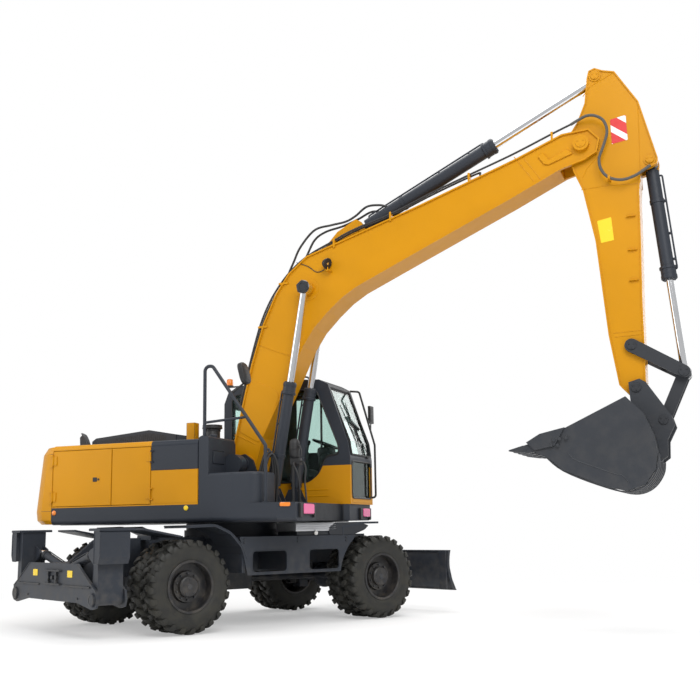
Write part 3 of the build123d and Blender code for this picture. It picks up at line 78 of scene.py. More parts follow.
# The front's pins as x and z, half widths, and the barrels' lengths and radii.
FOOT, TIP, BOOM_BASE, ROD_EYE = (315, 1968), (4739, 5573), (750, 1580), (1195, 4163)
BUCKET_PIN, IDLER_PIN, JOINT_PIN, LINK_PIN = (5180, 2630), (5160, 3110), (5700, 2780), (5450, 2250)
ARM_BASE, ARM_EYE, BUCKET_BASE = (1848, 4922), (4940, 6420), (5500, 5280)
BOOM_HALF, ARM_HALF, BUCKET_HALF = 215, 158, 550
BARRELS = (("boom_barrel_trim_1", BOOM_BASE, ROD_EYE, -320, 1390, 70, "boom_barrels"),
           ("boom_barrel_trim_3", BOOM_BASE, ROD_EYE, 320, 1390, 70, "boom_barrels"),
           ("arm_barrel_trim", ARM_BASE, ARM_EYE, 0, 2010, 85, "arm_barrel"),
           ("bucket_barrel_trim", BUCKET_BASE, JOINT_PIN, 0, 1410, 76, "bucket_barrel"))

# Tables: the counterweight's level, rear end and half width; the front edge of the side plates; the wheels with
# their axle and side; the side doors with their rear and front ends and side; the pipes' line along the boom.
WEIGHT_TABLE = ((1245, -2322, 1194), (1293, -2368, 1220), (1405, -2382, 1224), (2120, -2302, 1222),
                (2210, -2262, 1186))
PLATE_FRONT = ((1120, 1048), (1077, 1000), (1025, 950), (983, 900), (950, 850), (922, 800), (900, 750),
               (883, 700), (871, 650), (863, 612))
WHEELS = (("rear_left", REAR_X, 1), ("rear_right", REAR_X, -1), ("front_left", FRONT_X, 1),
          ("front_right", FRONT_X, -1))
SIDE_DOORS = (("door_right_rear", -1884, -1019, -1), ("door_right_front", -1011, -460, -1),
              ("door_left", -1884, -1019, 1))
PIPE_LINE = ((222, 2760), (285, 3010), (412, 3470), (525, 3813), (668, 4099), (850, 4343), (1032, 4511),
             (1232, 4638), (1508, 4755), (1820, 4884), (2354, 5037), (2913, 5243), (3367, 5395), (3917, 5575),
             (4402, 5758), (4660, 5850))

# Finishes: the usual slot, the material's name, its colour or a part of a colour setting, then roughness, change
# of tone, dust, the dust's height, grain in millimetres, at times the dust's colour, and further inputs.
FINISHES = {
    "yellow": ("body_yellow", "Body Yellow", ("body_colour", 1), 0.36, 0.35, 0.1, 1.6, 0.012,
               {"Coat Weight": 0.05, "Coat Roughness": 0.15, "Specular IOR Level": 0.18}),
    "slate": ("frame_grey", "Frame Slate", ("frame_colour", 1), 0.46, 0.5, 0.2, 1.1, 0.02, {"Specular IOR Level": 0.3}),
    "deep": ("frame_grey", "Deep Slate", ("frame_colour", 0.55), 0.5, 0.5, 0.3, 1.0, 0.02, {}),
    "black": ("trim_black", "Black Trim", (0.012, 0.012, 0.013), 0.5, 0.3, 0.15, 1.5, 0.05, {}),
    "rubber": ("tyre_black", "Tyre Rubber", (0.021, 0.021, 0.019), 0.55, 0.7, 0.7, 1.6, 0.25, (0.056, 0.053, 0.042),
               {"Specular IOR Level": 0.35}),
    "rim": ("rim_grey", "Rim Black", (0.014, 0.014, 0.016), 0.45, 0.4, 0.25, 1.2, 0.02, {}),
    "hub": ("rim_grey", "Hub Slate", ("frame_colour", 0.7), 0.5, 0.4, 0.25, 1.2, 0.02, {}),
    "chrome": ("rod_chrome", "Rod Chrome", (0.75, 0.76, 0.78), 0.12, 0.08, 0.0, 1.0, 0.0, {"Metallic": 1.0}),
    "steel": ("rod_chrome", "Worn Steel", (0.32, 0.32, 0.33), 0.4, 0.5, 0.1, 1.0, 0.05, {"Metallic": 0.9}),
    "alloy": ("step_aluminium", "Step Alloy", (0.55, 0.56, 0.58), 0.38, 0.3, 0.1, 1.5, 0.02, {"Metallic": 0.85}),
    "bucket": ("black_paint", "Bucket Paint", ("frame_colour", 0.75), 0.5, 0.6, 0.1, 3.0, 0.08, {}),
    "hose": ("hose_black", "Hose Rubber", (0.02, 0.02, 0.021), 0.55, 0.3, 0.1, 1.5, 0.03, {}),
    "sleeve": ("hose_black", "Hose Sleeve", (0.085, 0.082, 0.075), 0.7, 0.4, 0.1, 1.5, 0.1, {}),
    "seat": ("trim_black", "Seat Cloth", (0.035, 0.037, 0.042), 0.9, 0.6, 0.0, 1.0, 0.6, {"Sheen Weight": 0.3}),
    "cabin": ("trim_black", "Cabin Plastic", (0.05, 0.052, 0.056), 0.6, 0.3, 0.0, 1.0, 0.15, {}),
    "engine": ("engine_grey", "Engine Iron", (0.09, 0.09, 0.085), 0.6, 0.6, 0.1, 2.0, 0.2, {}),
    "amber": ("lamp", "Amber Lens", (0.85, 0.23, 0.015), 0.18, 0.2, 0.0, 1.0, 0.0, {"Coat Weight": 0.6}),
    "rose": ("lamp", "Work Lamp Lens", (0.78, 0.12, 0.32), 0.16, 0.2, 0.0, 1.0, 0.0, {"Coat Weight": 0.7}),
    "reflector": ("lamp", "Yellow Reflector", (0.86, 0.6, 0.02), 0.25, 0.2, 0.0, 1.0, 0.0, {}),
    "mirror": ("rod_chrome", "Mirror Face", (0.8, 0.82, 0.84), 0.04, 0.05, 0.0, 1.0, 0.0, {"Metallic": 1.0}),
    "red": ("lamp", "Sign Red", (0.62, 0.02, 0.02), 0.35, 0.2, 0.0, 1.0, 0.0, {}),
    "white": ("step_aluminium", "Sign White", (0.78, 0.78, 0.76), 0.35, 0.2, 0.0, 1.0, 0.0, {}),
}


# Frames of the two halves of the machine.

def upper(points):
    """Points of the upper works in millimetres, shifted to the row's frame in metres."""
    return (np.asarray(points, float) + SLEW) * MM


def under(points):
    """Points of the undercarriage in millimetres, turned by the swing and shifted to the row's frame."""
    points = np.asarray(points, float)
    turn = np.array(((math.cos(SWING), -math.sin(SWING), 0), (math.sin(SWING), math.cos(SWING), 0), (0, 0, 1)))
    return (points @ turn.T + SLEW) * MM


# Shapes: each gives a grid of points, rows by columns, with its ways of closing.

def shell(points, loop=False):
    """One grid of a piece: each row is closed on itself, and its ends are joined by a loop or closed by caps."""
    return {"points": np.asarray(points, float), "loop": loop}


def plate(outline, low, high, bevel, along="y"):
    """A prism of an outline between low and high; its rim rows are drawn in by the bevel, along the mitre of
    the two edges that meet at each corner."""
    outline = np.asarray(outline, float)
    ahead = np.roll(outline, -1, 0) - outline
    behind = outline - np.roll(outline, 1, 0)
    ahead /= np.linalg.norm(ahead, axis=1)[:, None]
    behind /= np.linalg.norm(behind, axis=1)[:, None]
    area = np.sum(outline[:, 0] * np.roll(outline[:, 1], -1) - np.roll(outline[:, 0], -1) * outline[:, 1])
    inward = np.stack((-(ahead + behind)[:, 1], (ahead + behind)[:, 0]), 1) * np.sign(area)
    inward /= np.maximum(np.linalg.norm(inward, axis=1), 1e-6)[:, None]
    sharp = np.clip(np.abs(ahead[:, 0] * inward[:, 1] - ahead[:, 1] * inward[:, 0]), 0.4, 1)
    drawn = outline + inward * (bevel / sharp)[:, None]
    rows = []
    for flat, level in ((drawn, low), (outline, low + bevel), (outline, high - bevel), (drawn, high)):
        rows.append(on_plane(flat, level, along))
    return shell(rows)


def on_plane(flat, level, along):
    """Flat points put at a level along one axis: along y they are x and z, along x y and z, along z x and y."""
    level = np.full(len(flat), float(level))
    order = {"y": (flat[:, 0], level, flat[:, 1]), "x": (level, flat[:, 0], flat[:, 1]),
             "z": (flat[:, 0], flat[:, 1], level)}
    return np.stack(order[along], 1)


def eased(corners, before, after, radius, steps):
    """Corners replaced by quadratic curves that start and end a radius from them on the way to their neighbours."""
    ends = []
    for way in (before - corners, after - corners):
        length = np.linalg.norm(way, axis=1)[:, None]
        ends.append((corners + way / length * np.minimum(radius, length * 0.48))[:, None])
    t = np.linspace(0, 1, steps)[None, :, None]
    curve = (1 - t) ** 2 * ends[0] + 2 * t * (1 - t) * corners[:, None] + t ** 2 * ends[1]
    return curve.reshape(-1, corners.shape[1])


def rounded(outline, radius, steps=5):
    """A closed outline with eased corners."""
    outline = np.asarray(outline, float)
    return eased(outline, np.roll(outline, 1, 0), np.roll(outline, -1, 0), radius, steps)


def bent(points, radius, steps=6):
    """An open path with eased corners between its two ends."""
    points = np.asarray(points, float)
    return np.concatenate((points[:1], eased(points[1:-1], points[:-2], points[2:], radius, steps), points[-1:]))


def ringed(outline, level, along):
    """The path round an outline on a plane, back to its first point."""
    outline = np.asarray(outline, float)
    return on_plane(np.concatenate((outline, outline[:1])), level, along)


def whole_turn(count):
    """Even steps of a whole turn."""
    return np.arange(count) * 2 * math.pi / count


def span(side, near, far):
    """The levels of two distances on one side of the middle, the lower one first."""
    return sorted((side * near, side * far))


def box_outline(low, high):
    """The four corners of a rectangle."""
    return [(low[0], low[1]), (high[0], low[1]), (high[0], high[1]), (low[0], high[1])]


def soft_box(low, high, radius, along, bevel):
    """A box with rounded corners in one plane and bevelled rims."""
    axes = {"y": (0, 2, 1), "x": (1, 2, 0), "z": (0, 1, 2)}[along]
    flat = box_outline((low[axes[0]], low[axes[1]]), (high[axes[0]], high[axes[1]]))
    return plate(rounded(flat, radius), low[axes[2]], high[axes[2]], bevel, along)


def lathe(profile, centre, axis, steps=32):
    """A profile of radius and height turned about an axis: each row is the circle of one profile point."""
    profile = np.asarray(profile, float)
    axis = np.asarray(axis, float) / np.linalg.norm(axis)
    side = np.cross(axis, (0.3, 0.5, 0.81))
    side /= np.linalg.norm(side)
    other = np.cross(axis, side)
    angle = whole_turn(steps)
    around = np.cos(angle)[:, None] * side + np.sin(angle)[:, None] * other
    rows = np.asarray(centre, float) + profile[:, 1, None, None] * axis + profile[:, 0, None, None] * around
    return shell(rows)


def disc(centre, axis, radius, height, bevel=3.0, steps=24):
    """A flat round boss that stands on a point along an axis."""
    return lathe([(radius, 0), (radius, height - bevel), (radius - bevel, height)], centre, axis, steps)


def hexagons(centres, axis, radius, height):
    """Bolt heads with a small top face, one for each centre."""
    profile = [(radius, 0), (radius, height * 0.75), (radius * 0.8, height)]
    return [lathe(profile, centre, axis, 6) for centre in centres]


def tube(path, radius, sides=12):
    """A round section carried along a path: its circle lies across the path's direction, measured from the
    direction in which the path varies least."""
    path = np.asarray(path, float)
    run = np.gradient(path, axis=0)
    run /= np.linalg.norm(run, axis=1)[:, None]
    least = np.linalg.svd(run, full_matrices=True)[2][-1]
    first = least - (run @ least)[:, None] * run
    first /= np.linalg.norm(first, axis=1)[:, None]
    second = np.cross(run, first)
    angle = whole_turn(sides)
    radius = np.broadcast_to(np.asarray(radius, float), (len(path),))
    circle = np.cos(angle)[None, :, None] * first[:, None] + np.sin(angle)[None, :, None] * second[:, None]
    return shell(path[:, None] + circle * radius[:, None, None])


def straight(start, end, radius, sides):
    """A round bar between two points."""
    return tube(np.linspace(start, end, 2), radius, sides)


def turned(part, centre, degrees):
    """A shape built about the origin, turned about the vertical and moved to a centre."""
    c, s = math.cos(math.radians(degrees)), math.sin(math.radians(degrees))
    part["points"] = part["points"] @ np.array(((c, s, 0), (-s, c, 0), (0, 0, 1))) + centre
    return part


def arc(start, through, end, samples):
    """Points of the circle's arc in a plane that starts, passes through and ends at three given points."""
    (ax, ay), (bx, by), (cx, cy) = start, through, end
    twice = 2 * (ax * (by - cy) + bx * (cy - ay) + cx * (ay - by))
    squares = (ax ** 2 + ay ** 2, bx ** 2 + by ** 2, cx ** 2 + cy ** 2)
    x = (squares[0] * (by - cy) + squares[1] * (cy - ay) + squares[2] * (ay - by)) / twice
    y = (squares[0] * (cx - bx) + squares[1] * (ax - cx) + squares[2] * (bx - ax)) / twice
    turns = np.unwrap([math.atan2(q - y, p - x) for p, q in (start, through, end)])
    angle = np.linspace(turns[0], turns[2], samples)
    reach = math.hypot(ax - x, ay - y)
    return np.column_stack((x + reach * np.cos(angle), y + reach * np.sin(angle)))


def smooth_curve(control, samples):
    """Points along a Catmull-Rom curve through its control points, at even steps of its parameter."""
    control = np.asarray(control, float)
    padded = np.concatenate((2 * control[:1] - control[1:2], control, 2 * control[-1:] - control[-2:-1]))
    place = np.linspace(0, len(control) - 1, samples)
    whole = np.minimum(place.astype(int), len(control) - 2)
    t = (place - whole)[:, None]
    a, b, c, d = (padded[whole + k] for k in range(4))
    return 0.5 * (2 * b + (c - a) * t + (2 * a - 5 * b + 4 * c - d) * t ** 2 + (3 * b - a - 3 * c + d) * t ** 3)


# Meshes and pieces.

def add_piece(name, shells, body, finish, crease=32.0, instead=()):
    """One object from several grids: joined, its seams merged, its faces turned outwards, riding on a body."""
    below = isinstance(body, str) and body.startswith(("undercarriage", "wheel", "outrigger", "blade"))
    place = under if below else upper
    points, faces, first = [], [], 0
    for part in shells:
        grid = part["points"]
        rows, columns = grid.shape[:2]
        points.append(grid.reshape(-1, 3))
        index = np.arange(rows * columns).reshape(rows, columns) + first
        index = np.concatenate((index, index[:, :1]), 1)
        if part["loop"]:
            index = np.concatenate((index, index[:1]), 0)
        quads = np.stack((index[:-1, :-1], index[:-1, 1:], index[1:, 1:], index[1:, :-1]), -1).reshape(-1, 4)
        faces += quads.tolist()
        if not part["loop"]:
            faces += [index[0, :columns][::-1].tolist(), index[-1, :columns].tolist()]
        first += rows * columns
    mesh = bpy.data.meshes.new(name)
    mesh.from_pydata(place(np.concatenate(points)).tolist(), [], faces)
    clean(mesh, crease)
    mesh.materials.append(look(finish))
    return finish_piece(bpy.data.objects.new(name, mesh), body, instead)


def clean(mesh, crease):
    """Merges doubles, turns the faces outwards and keeps edges sharp where they turn by more than the crease."""
    work = bmesh.new()
    work.from_mesh(mesh)
    bmesh.ops.remove_doubles(work, verts=work.verts, dist=2e-6)
    bmesh.ops.recalc_face_normals(work, faces=work.faces)
    work.to_mesh(mesh)
    work.free()
    mesh.polygons.foreach_set("use_smooth", np.ones(len(mesh.polygons), bool))
    mesh.set_sharp_from_angle(angle=math.radians(crease))


def finish_piece(piece, body, instead):
    """Links a piece and sets it riding on its one body; a piece given two bodies and the points between which it bends
    only has its transform baked."""
    bpy.context.scene.collection.objects.link(piece)
    if isinstance(body, tuple):
        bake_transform(piece)
    else:
        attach(piece, body)
    if instead:
        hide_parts(*instead)
    return piece


def dress(material, nodes):
    """Gives the CAD nodes that a text names a finished material."""
    for name in nodes.split():
        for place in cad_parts[name].material_slots:
            place.material = material


# Materials.

def node(tree, kind, at, **values):
    """A shader node; values name its properties or, where it has none by that name, its inputs."""
    made = tree.nodes.new(kind)
    made.location = at
    for key, value in values.items():
        if hasattr(made, key):
            setattr(made, key, value)
        else:
            made.inputs[key.replace("_", " ")].default_value = value
    return made


def group(name, inputs, outputs):
    """An empty node group with named sockets, and its two end nodes."""
    tree = bpy.data.node_groups.new(name, "ShaderNodeTree")
    for label, kind, value in inputs:
        socket = tree.interface.new_socket(label, in_out="INPUT", socket_type=kind)
        socket.default_value = value
    for label, kind in outputs:
        tree.interface.new_socket(label, in_out="OUTPUT", socket_type=kind)
    return tree, tree.nodes.new("NodeGroupInput"), tree.nodes.new("NodeGroupOutput")


def feed(tree, value, socket):
    """Links a socket to another one, or gives it a constant."""
    if isinstance(value, bpy.types.NodeSocket):
        tree.links.new(value, socket)
    else:
        socket.default_value = value


def mix_colour(tree, mask, first, second, at):
    """A colour mix by a mask, each side a socket or a plain colour."""
    mixed = node(tree, "ShaderNodeMix", at, data_type="RGBA")
    for value, socket in ((mask, mixed.inputs[0]), (first, mixed.inputs[6]), (second, mixed.inputs[7])):
        feed(tree, value, socket)
    return mixed.outputs[2]


def scaled(tree, value, from_low, from_high, to_low, to_high, at):
    """A value mapped and clamped from one range to another."""
    ranged = node(tree, "ShaderNodeMapRange", at)
    for key, number in (("Value", value), ("From Min", from_low), ("From Max", from_high), ("To Min", to_low),
                        ("To Max", to_high)):
        feed(tree, number, ranged.inputs[key])
    return ranged.outputs["Result"]


def arithmetic(tree, operation, first, second, at):
    """One sum of two sockets or numbers."""
    made = node(tree, "ShaderNodeMath", at, operation=operation)
    for value, socket in zip((first, second), made.inputs):
        feed(tree, value, socket)
    return made.outputs[0]


def noise(tree, scale, detail, at):
    """Noise on Object coordinates."""
    place = node(tree, "ShaderNodeTexCoord", (at[0] - 200, at[1]))
    made = node(tree, "ShaderNodeTexNoise", at, Scale=scale, Detail=detail)
    tree.links.new(place.outputs["Object"], made.inputs["Vector"])
    return made.outputs[0]


def weather_group():
    """Slow changes of tone, dust that settles low down, fine grain for roughness and bump."""
    tree, start, end = group(
        "Weathered Surface",
        [("Colour", "NodeSocketColor", (0.5, 0.5, 0.5, 1)), ("Dust Colour", "NodeSocketColor", (0.3, 0.26, 0.2, 1)),
         ("Tone Change", "NodeSocketFloat", 0.12), ("Dust", "NodeSocketFloat", 0.2),
         ("Dust Height", "NodeSocketFloat", 1.2), ("Roughness", "NodeSocketFloat", 0.4)],
        [("Colour", "NodeSocketColor"), ("Roughness", "NodeSocketFloat"), ("Height", "NodeSocketFloat")])
    link = tree.links.new
    tone = noise(tree, 1.3, 3, (-600, 300))
    patches = noise(tree, 9.0, 5, (-600, 0))
    grain = noise(tree, 260.0, 2, (-600, -300))
    place = node(tree, "ShaderNodeTexCoord", (-1000, -500))
    apart = node(tree, "ShaderNodeSeparateXYZ", (-800, -500))
    link(place.outputs["Object"], apart.inputs[0])
    low = scaled(tree, apart.outputs["Z"], 0.0, start.outputs["Dust Height"], 1.0, 0.0, (-600, -500))
    speckle = scaled(tree, patches, 0.4, 0.72, 0.0, 1.0, (-400, 0))
    dusty = arithmetic(tree, "MULTIPLY", low, speckle, (-200, -200))
    dusty = arithmetic(tree, "MULTIPLY", dusty, start.outputs["Dust"], (-50, -200))
    darker = mix_colour(tree, scaled(tree, tone, 0.35, 0.65, 0.0, 1.0, (-400, 300)), (0.8, 0.8, 0.8, 1), (1, 1, 1, 1),
                        (-200, 300))
    shade = node(tree, "ShaderNodeMix", (0, 300), data_type="RGBA", blend_type="MULTIPLY")
    link(start.outputs["Tone Change"], shade.inputs[0])
    link(start.outputs["Colour"], shade.inputs[6])
    link(darker, shade.inputs[7])
    link(mix_colour(tree, dusty, shade.outputs[2], start.outputs["Dust Colour"], (250, 200)), end.inputs["Colour"])
    rougher = arithmetic(tree, "MULTIPLY", dusty, 0.4, (100, -100))
    rough = arithmetic(tree, "ADD", start.outputs["Roughness"], rougher, (250, -50))
    wave = arithmetic(tree, "MULTIPLY", scaled(tree, patches, 0.3, 0.7, -1, 1, (0, -350)), 0.04, (200, -300))
    link(arithmetic(tree, "ADD", rough, wave, (400, -50)), end.inputs["Roughness"])
    link(grain, end.inputs["Height"])
    return tree


def weathered(name, colour, roughness, tone, dust, dust_height, grain, dust_colour=None, *, inputs):
    """A Principled material whose colour, roughness and bump come from the weathered surface group."""
    material = bpy.data.materials.get(name)
    if material:
        return material
    material = bpy.data.materials.new(name)
    material.use_nodes = True
    tree = material.node_tree
    principled = tree.nodes["Principled BSDF"]
    surface = bpy.data.node_groups.get("Weathered Surface") or weather_group()
    worn = node(tree, "ShaderNodeGroup", (-400, 0), node_tree=surface)
    for key, value in (("Colour", (*colour, 1)), ("Tone Change", tone), ("Dust", dust), ("Dust Height", dust_height),
                       ("Roughness", roughness)):
        worn.inputs[key].default_value = value
    if dust_colour:
        worn.inputs["Dust Colour"].default_value = (*dust_colour, 1)
    tree.links.new(worn.outputs["Colour"], principled.inputs["Base Color"])
    tree.links.new(worn.outputs["Roughness"], principled.inputs["Roughness"])
    if grain:
        bump = node(tree, "ShaderNodeBump", (-200, -300), Strength=0.5)
        bump.inputs["Distance"].default_value = grain * MM
        tree.links.new(worn.outputs["Height"], bump.inputs["Height"])
        tree.links.new(bump.outputs["Normal"], principled.inputs["Normal"])
    for key, value in inputs.items():
        principled.inputs[key].default_value = value
    return material


def box_mask(tree, low, high, at):
    """One inside a box of Object coordinates and nought outside it."""
    place = node(tree, "ShaderNodeTexCoord", (at[0] - 600, at[1]))
    apart = node(tree, "ShaderNodeSeparateXYZ", (at[0] - 400, at[1]))
    tree.links.new(place.outputs["Object"], apart.inputs[0])
    mask = None
    for axis in range(3):
        for limit, operation in ((low[axis], "GREATER_THAN"), (high[axis], "LESS_THAN")):
            if limit is None:
                continue
            inside = arithmetic(tree, operation, apart.outputs[axis], float(limit), (at[0] - 200, at[1] - 80 * axis))
            mask = inside if mask is None else arithmetic(tree, "MULTIPLY", mask, inside, at)
    return mask


def zone(name, base, low, high, colour, extra=()):
    """A copy of a weathered material that has another colour inside boxes given in the upper works' frame."""
    if bpy.data.materials.get(name):
        return bpy.data.materials[name]
    material = base.copy()
    material.name = name
    tree = material.node_tree
    worn = next(item for item in tree.nodes if item.type == "GROUP")
    mask = None
    for corner_low, corner_high in ((low, high), *extra):
        limits = []
        for corner in (corner_low, corner_high):
            limits.append([None if v is None else (v + SLEW[k]) * MM for k, v in enumerate(corner)])
        inside = box_mask(tree, *limits, (-900, 400))
        mask = inside if mask is None else arithmetic(tree, "MAXIMUM", mask, inside, (-700, 300))
    linked = worn.inputs["Colour"].links
    plain = linked[0].from_socket if linked else tuple(worn.inputs["Colour"].default_value)
    tree.links.new(mix_colour(tree, mask, plain, (*colour, 1), (-600, 200)), worn.inputs["Colour"])
    return material


def look(key):
    """A finish by its name, made when first asked for."""
    if key in ("glass", "striped"):
        return glass() if key == "glass" else striped()
    _, name, colour, *numbers, inputs = FINISHES[key]
    if isinstance(colour[0], str):
        setting, part = colour
        colour = tuple(part * v for v in getattr(bpy.context.scene.excavator_paint, setting))
    return weathered(name, colour, *numbers, inputs=inputs)


def glass():
    """Tinted cab glass."""
    material = bpy.data.materials.get("Cab Glass")
    if material:
        return material
    material = bpy.data.materials.new("Cab Glass")
    material.use_nodes = True
    shader = material.node_tree.nodes["Principled BSDF"]
    for key, value in (("Base Color", (0.66, 0.8, 0.76, 1)), ("Roughness", 0.02), ("IOR", 1.3),
                       ("Transmission Weight", 1.0)):
        shader.inputs[key].default_value = value
    return material


# Tyres.

def carcass(axle_x, middle):
    """A tyre without its lugs: a section of crown, shoulder, sidewall ridges and bead turned about the axle."""
    half = smooth_curve(np.array(((0, 487), (50, 486), (92, 482), (110, 472), (122, 452), (130, 424), (134, 392),
                                  (133, 362), (128, 338), (122, 318), (113, 302), (106, BEAD_R + 0.5)), float), 40)
    for level in (442, 352, 330):
        half[:, 0] += 1.6 * np.exp(-((half[:, 1] - level) / 3.2) ** 2)
    section = np.concatenate((half[::-1] * (-1, 1), half[1:]))
    angle = whole_turn(96)
    across = middle + np.clip(section[:, 0, None], -TYRE_W / 2, TYRE_W / 2) + 0 * angle
    ring = (axle_x + section[:, 1, None] * np.sin(angle), across, TYRE_R + section[:, 1, None] * np.cos(angle))
    return shell(np.stack(ring, -1), loop=True)


def tread(axle_x, middle, side, lugs):
    """The lugs of one tyre: rounded blocks in two rows, each carried from near the middle over the shoulder and
    down the sidewall, leaning against the direction of travel; the rows are half a step apart."""
    table = np.array((  # across, from the axle, half length, depth, outward across, outward from the axle
        (5, 492, 16, 8, 0, 1), (8, 513, 22, 30, 0, 1), (18, 518.5, 29, 36, 0, 1), (56, 519.2, 34, 36, 0, 1),
        (88, 517.5, 37, 38, 0.1, 1), (108, 512, 38, 36, 0.45, 0.9), (121, 500, 37, 26, 0.8, 0.6),
        (129, 482, 34, 16, 0.97, 0.25), (133, 462, 28, 9, 1, 0.1), (134, 447, 20, 4, 1, 0.05)))
    across, radius, length, depth = table[:, :4].T
    out = table[:, 4:] / np.linalg.norm(table[:, 4:], axis=1)[:, None]
    place = np.array((-1.06, -1, -0.9, -0.72, 0.72, 0.9, 1, 1.06))
    sunk = np.array((1, 0.2, 0.05, 0, 0, 0.05, 0.2, 1))
    lean = np.interp(across, (0, 60, 110, 135), (-16, 0, 20, 26))
    shells = []
    for half in (-1, 1):
        for turn in (np.arange(lugs) + 0.25 * (half + 1)) * 2 * math.pi / lugs:
            down = depth[:, None] * sunk
            y = middle + half * np.minimum(across[:, None] - out[:, 0, None] * down, 134.8)
            r = radius[:, None] - out[:, 1, None] * down
            angle = turn + side * (length[:, None] * place + lean[:, None]) / TYRE_R
            shells.append(shell(np.stack((axle_x + r * np.sin(angle), y, TYRE_R + r * np.cos(angle)), -1)))
    return shells


class EXCAVATOR_OT_tyres(bpy.types.Operator):
    """Add the twin tyres with their rows of lugs"""
    bl_idname = "excavator.tyres"
    bl_label = "Tyres"

    def execute(self, context):
        for name, axle_x, side in WHEELS:
            pair = []
            for step in (-1, 1):
                middle = side * HALF_TRACK + step * TWIN_STEP
                pair.append(carcass(axle_x, middle))
                pair += tread(axle_x, middle, side, context.scene.excavator_sizes.lugs)
            add_piece("tyre_pair_" + name, pair, "wheel_" + name, "rubber", crease=38, instead=("tyres_" + name,))
        return {"FINISHED"}


class EXCAVATOR_OT_wheel_faces(bpy.types.Operator):
    """Add the nuts, hub bolts and lock rings of the wheels"""
    bl_idname = "excavator.wheel_faces"
    bl_label = "Wheel Faces"

    def execute(self, context):
        for name, axle_x, side in WHEELS:
            face = side * (HALF_TRACK + TWIN_STEP)
            turns = whole_turn(10)
            nuts, caps = (
                [(axle_x + radius * math.sin(t), level, TYRE_R + radius * math.cos(t)) for t in angles]
                for radius, level, angles in ((145, face + side * 28, turns), (84, side * HUB_FACE, turns[::2])))
            shells = hexagons(nuts, (0, side, 0), 12, 22) + hexagons(caps, (0, side, 0), 8, 6)
            shells.append(disc((axle_x, side * HUB_FACE, TYRE_R), (0, side, 0), 34, 6, 3))
            add_piece("wheel_nuts_" + name, shells, "wheel_" + name, "hub")
            lip = [(288, 0), (292, 4), (292, 14), (284, 18), (268, 18), (262, 10), (266, 0)]
            ring = lathe(lip, (axle_x, face + side * 100, TYRE_R), (0, side, 0), 64)
            ring["loop"] = True
            add_piece("lock_ring_" + name, [ring], "wheel_" + name, "rim")
        return {"FINISHED"}


class EXCAVATOR_OT_paint(bpy.types.Operator):
    """Give every CAD node that stays its finished material"""
    bl_idname = "excavator.paint"
    bl_label = "Paint"

    def execute(self, context):
        slate = tuple(context.scene.excavator_paint.frame_colour)
        yellow = tuple(context.scene.excavator_paint.body_colour)
        for finish, nodes in (
                ("slate", "chassis rear_axle front_axle stabiliser_beam outrigger_left outrigger_right blade "
                          "blade_barrels outrigger_barrel_left outrigger_barrel_right boom_barrels arm_barrel "
                          "bucket_barrel tank hood_lid handrail"),
                ("deep", "driveline knuckle_left knuckle_right bucket_link idler"),
                ("rim", " ".join("rim_" + name for name, _, _ in WHEELS)),
                ("chrome", "blade_rods outrigger_rod_left outrigger_rod_right boom_rods arm_rod bucket_rod"),
                ("yellow", "counterweight door_right_rear door_right_front door_left boom arm"),
                ("black", "mirrors stacks"), ("bucket", "bucket"), ("glass", "cab_glass door_glass"),
                ("seat", "seat"), ("cabin", "controls"), ("engine", "engine"), ("alloy", "step_box"),
                ("hose", "boom_hoses")):
            dress(look(finish), nodes)
        # Painted shade: the platform's front face is darkened to 0.4 of the slate where it stands in shadow.
        dress(zone("Platform Paint", look("slate"), (1376, -475, 1200), (1400, 432, DECK + 10),
                   tuple(0.4 * v for v in slate)), "platform")
        dress(zone("Hood Paint", look("yellow"), (-2000, -630, HOOD_TOP - 50), (300, 1300, HOOD_TOP + 300), slate,
                   [((PANEL_SEAM, -1400, 1860), (300, 0, 2400))]), "hood_frame")
        outside = zone("Cab Shell", look("slate"), (-500, 300, 1400), (1600, 1300, 1740), yellow,
                       [((880, 300, 1700), (1600, 1300, 1945))])
        inside = zone("Cab Paint", outside, (CAB_REAR + 20, CAB_RIGHT + 30, 1452),
                      (CAB_FRONT - 30, CAB_LEFT - 30, 3080), (0.02, 0.021, 0.024))
        dress(inside, "cab cab_door")
        dress(zone("Lamp Housings", look("black"), (-400, CAB_RIGHT + 60, 3097), (-260, CAB_RIGHT + 180, 3300),
                   (0.85, 0.23, 0.015)), "lamps")
        return {"FINISHED"}


# Trim of the undercarriage.

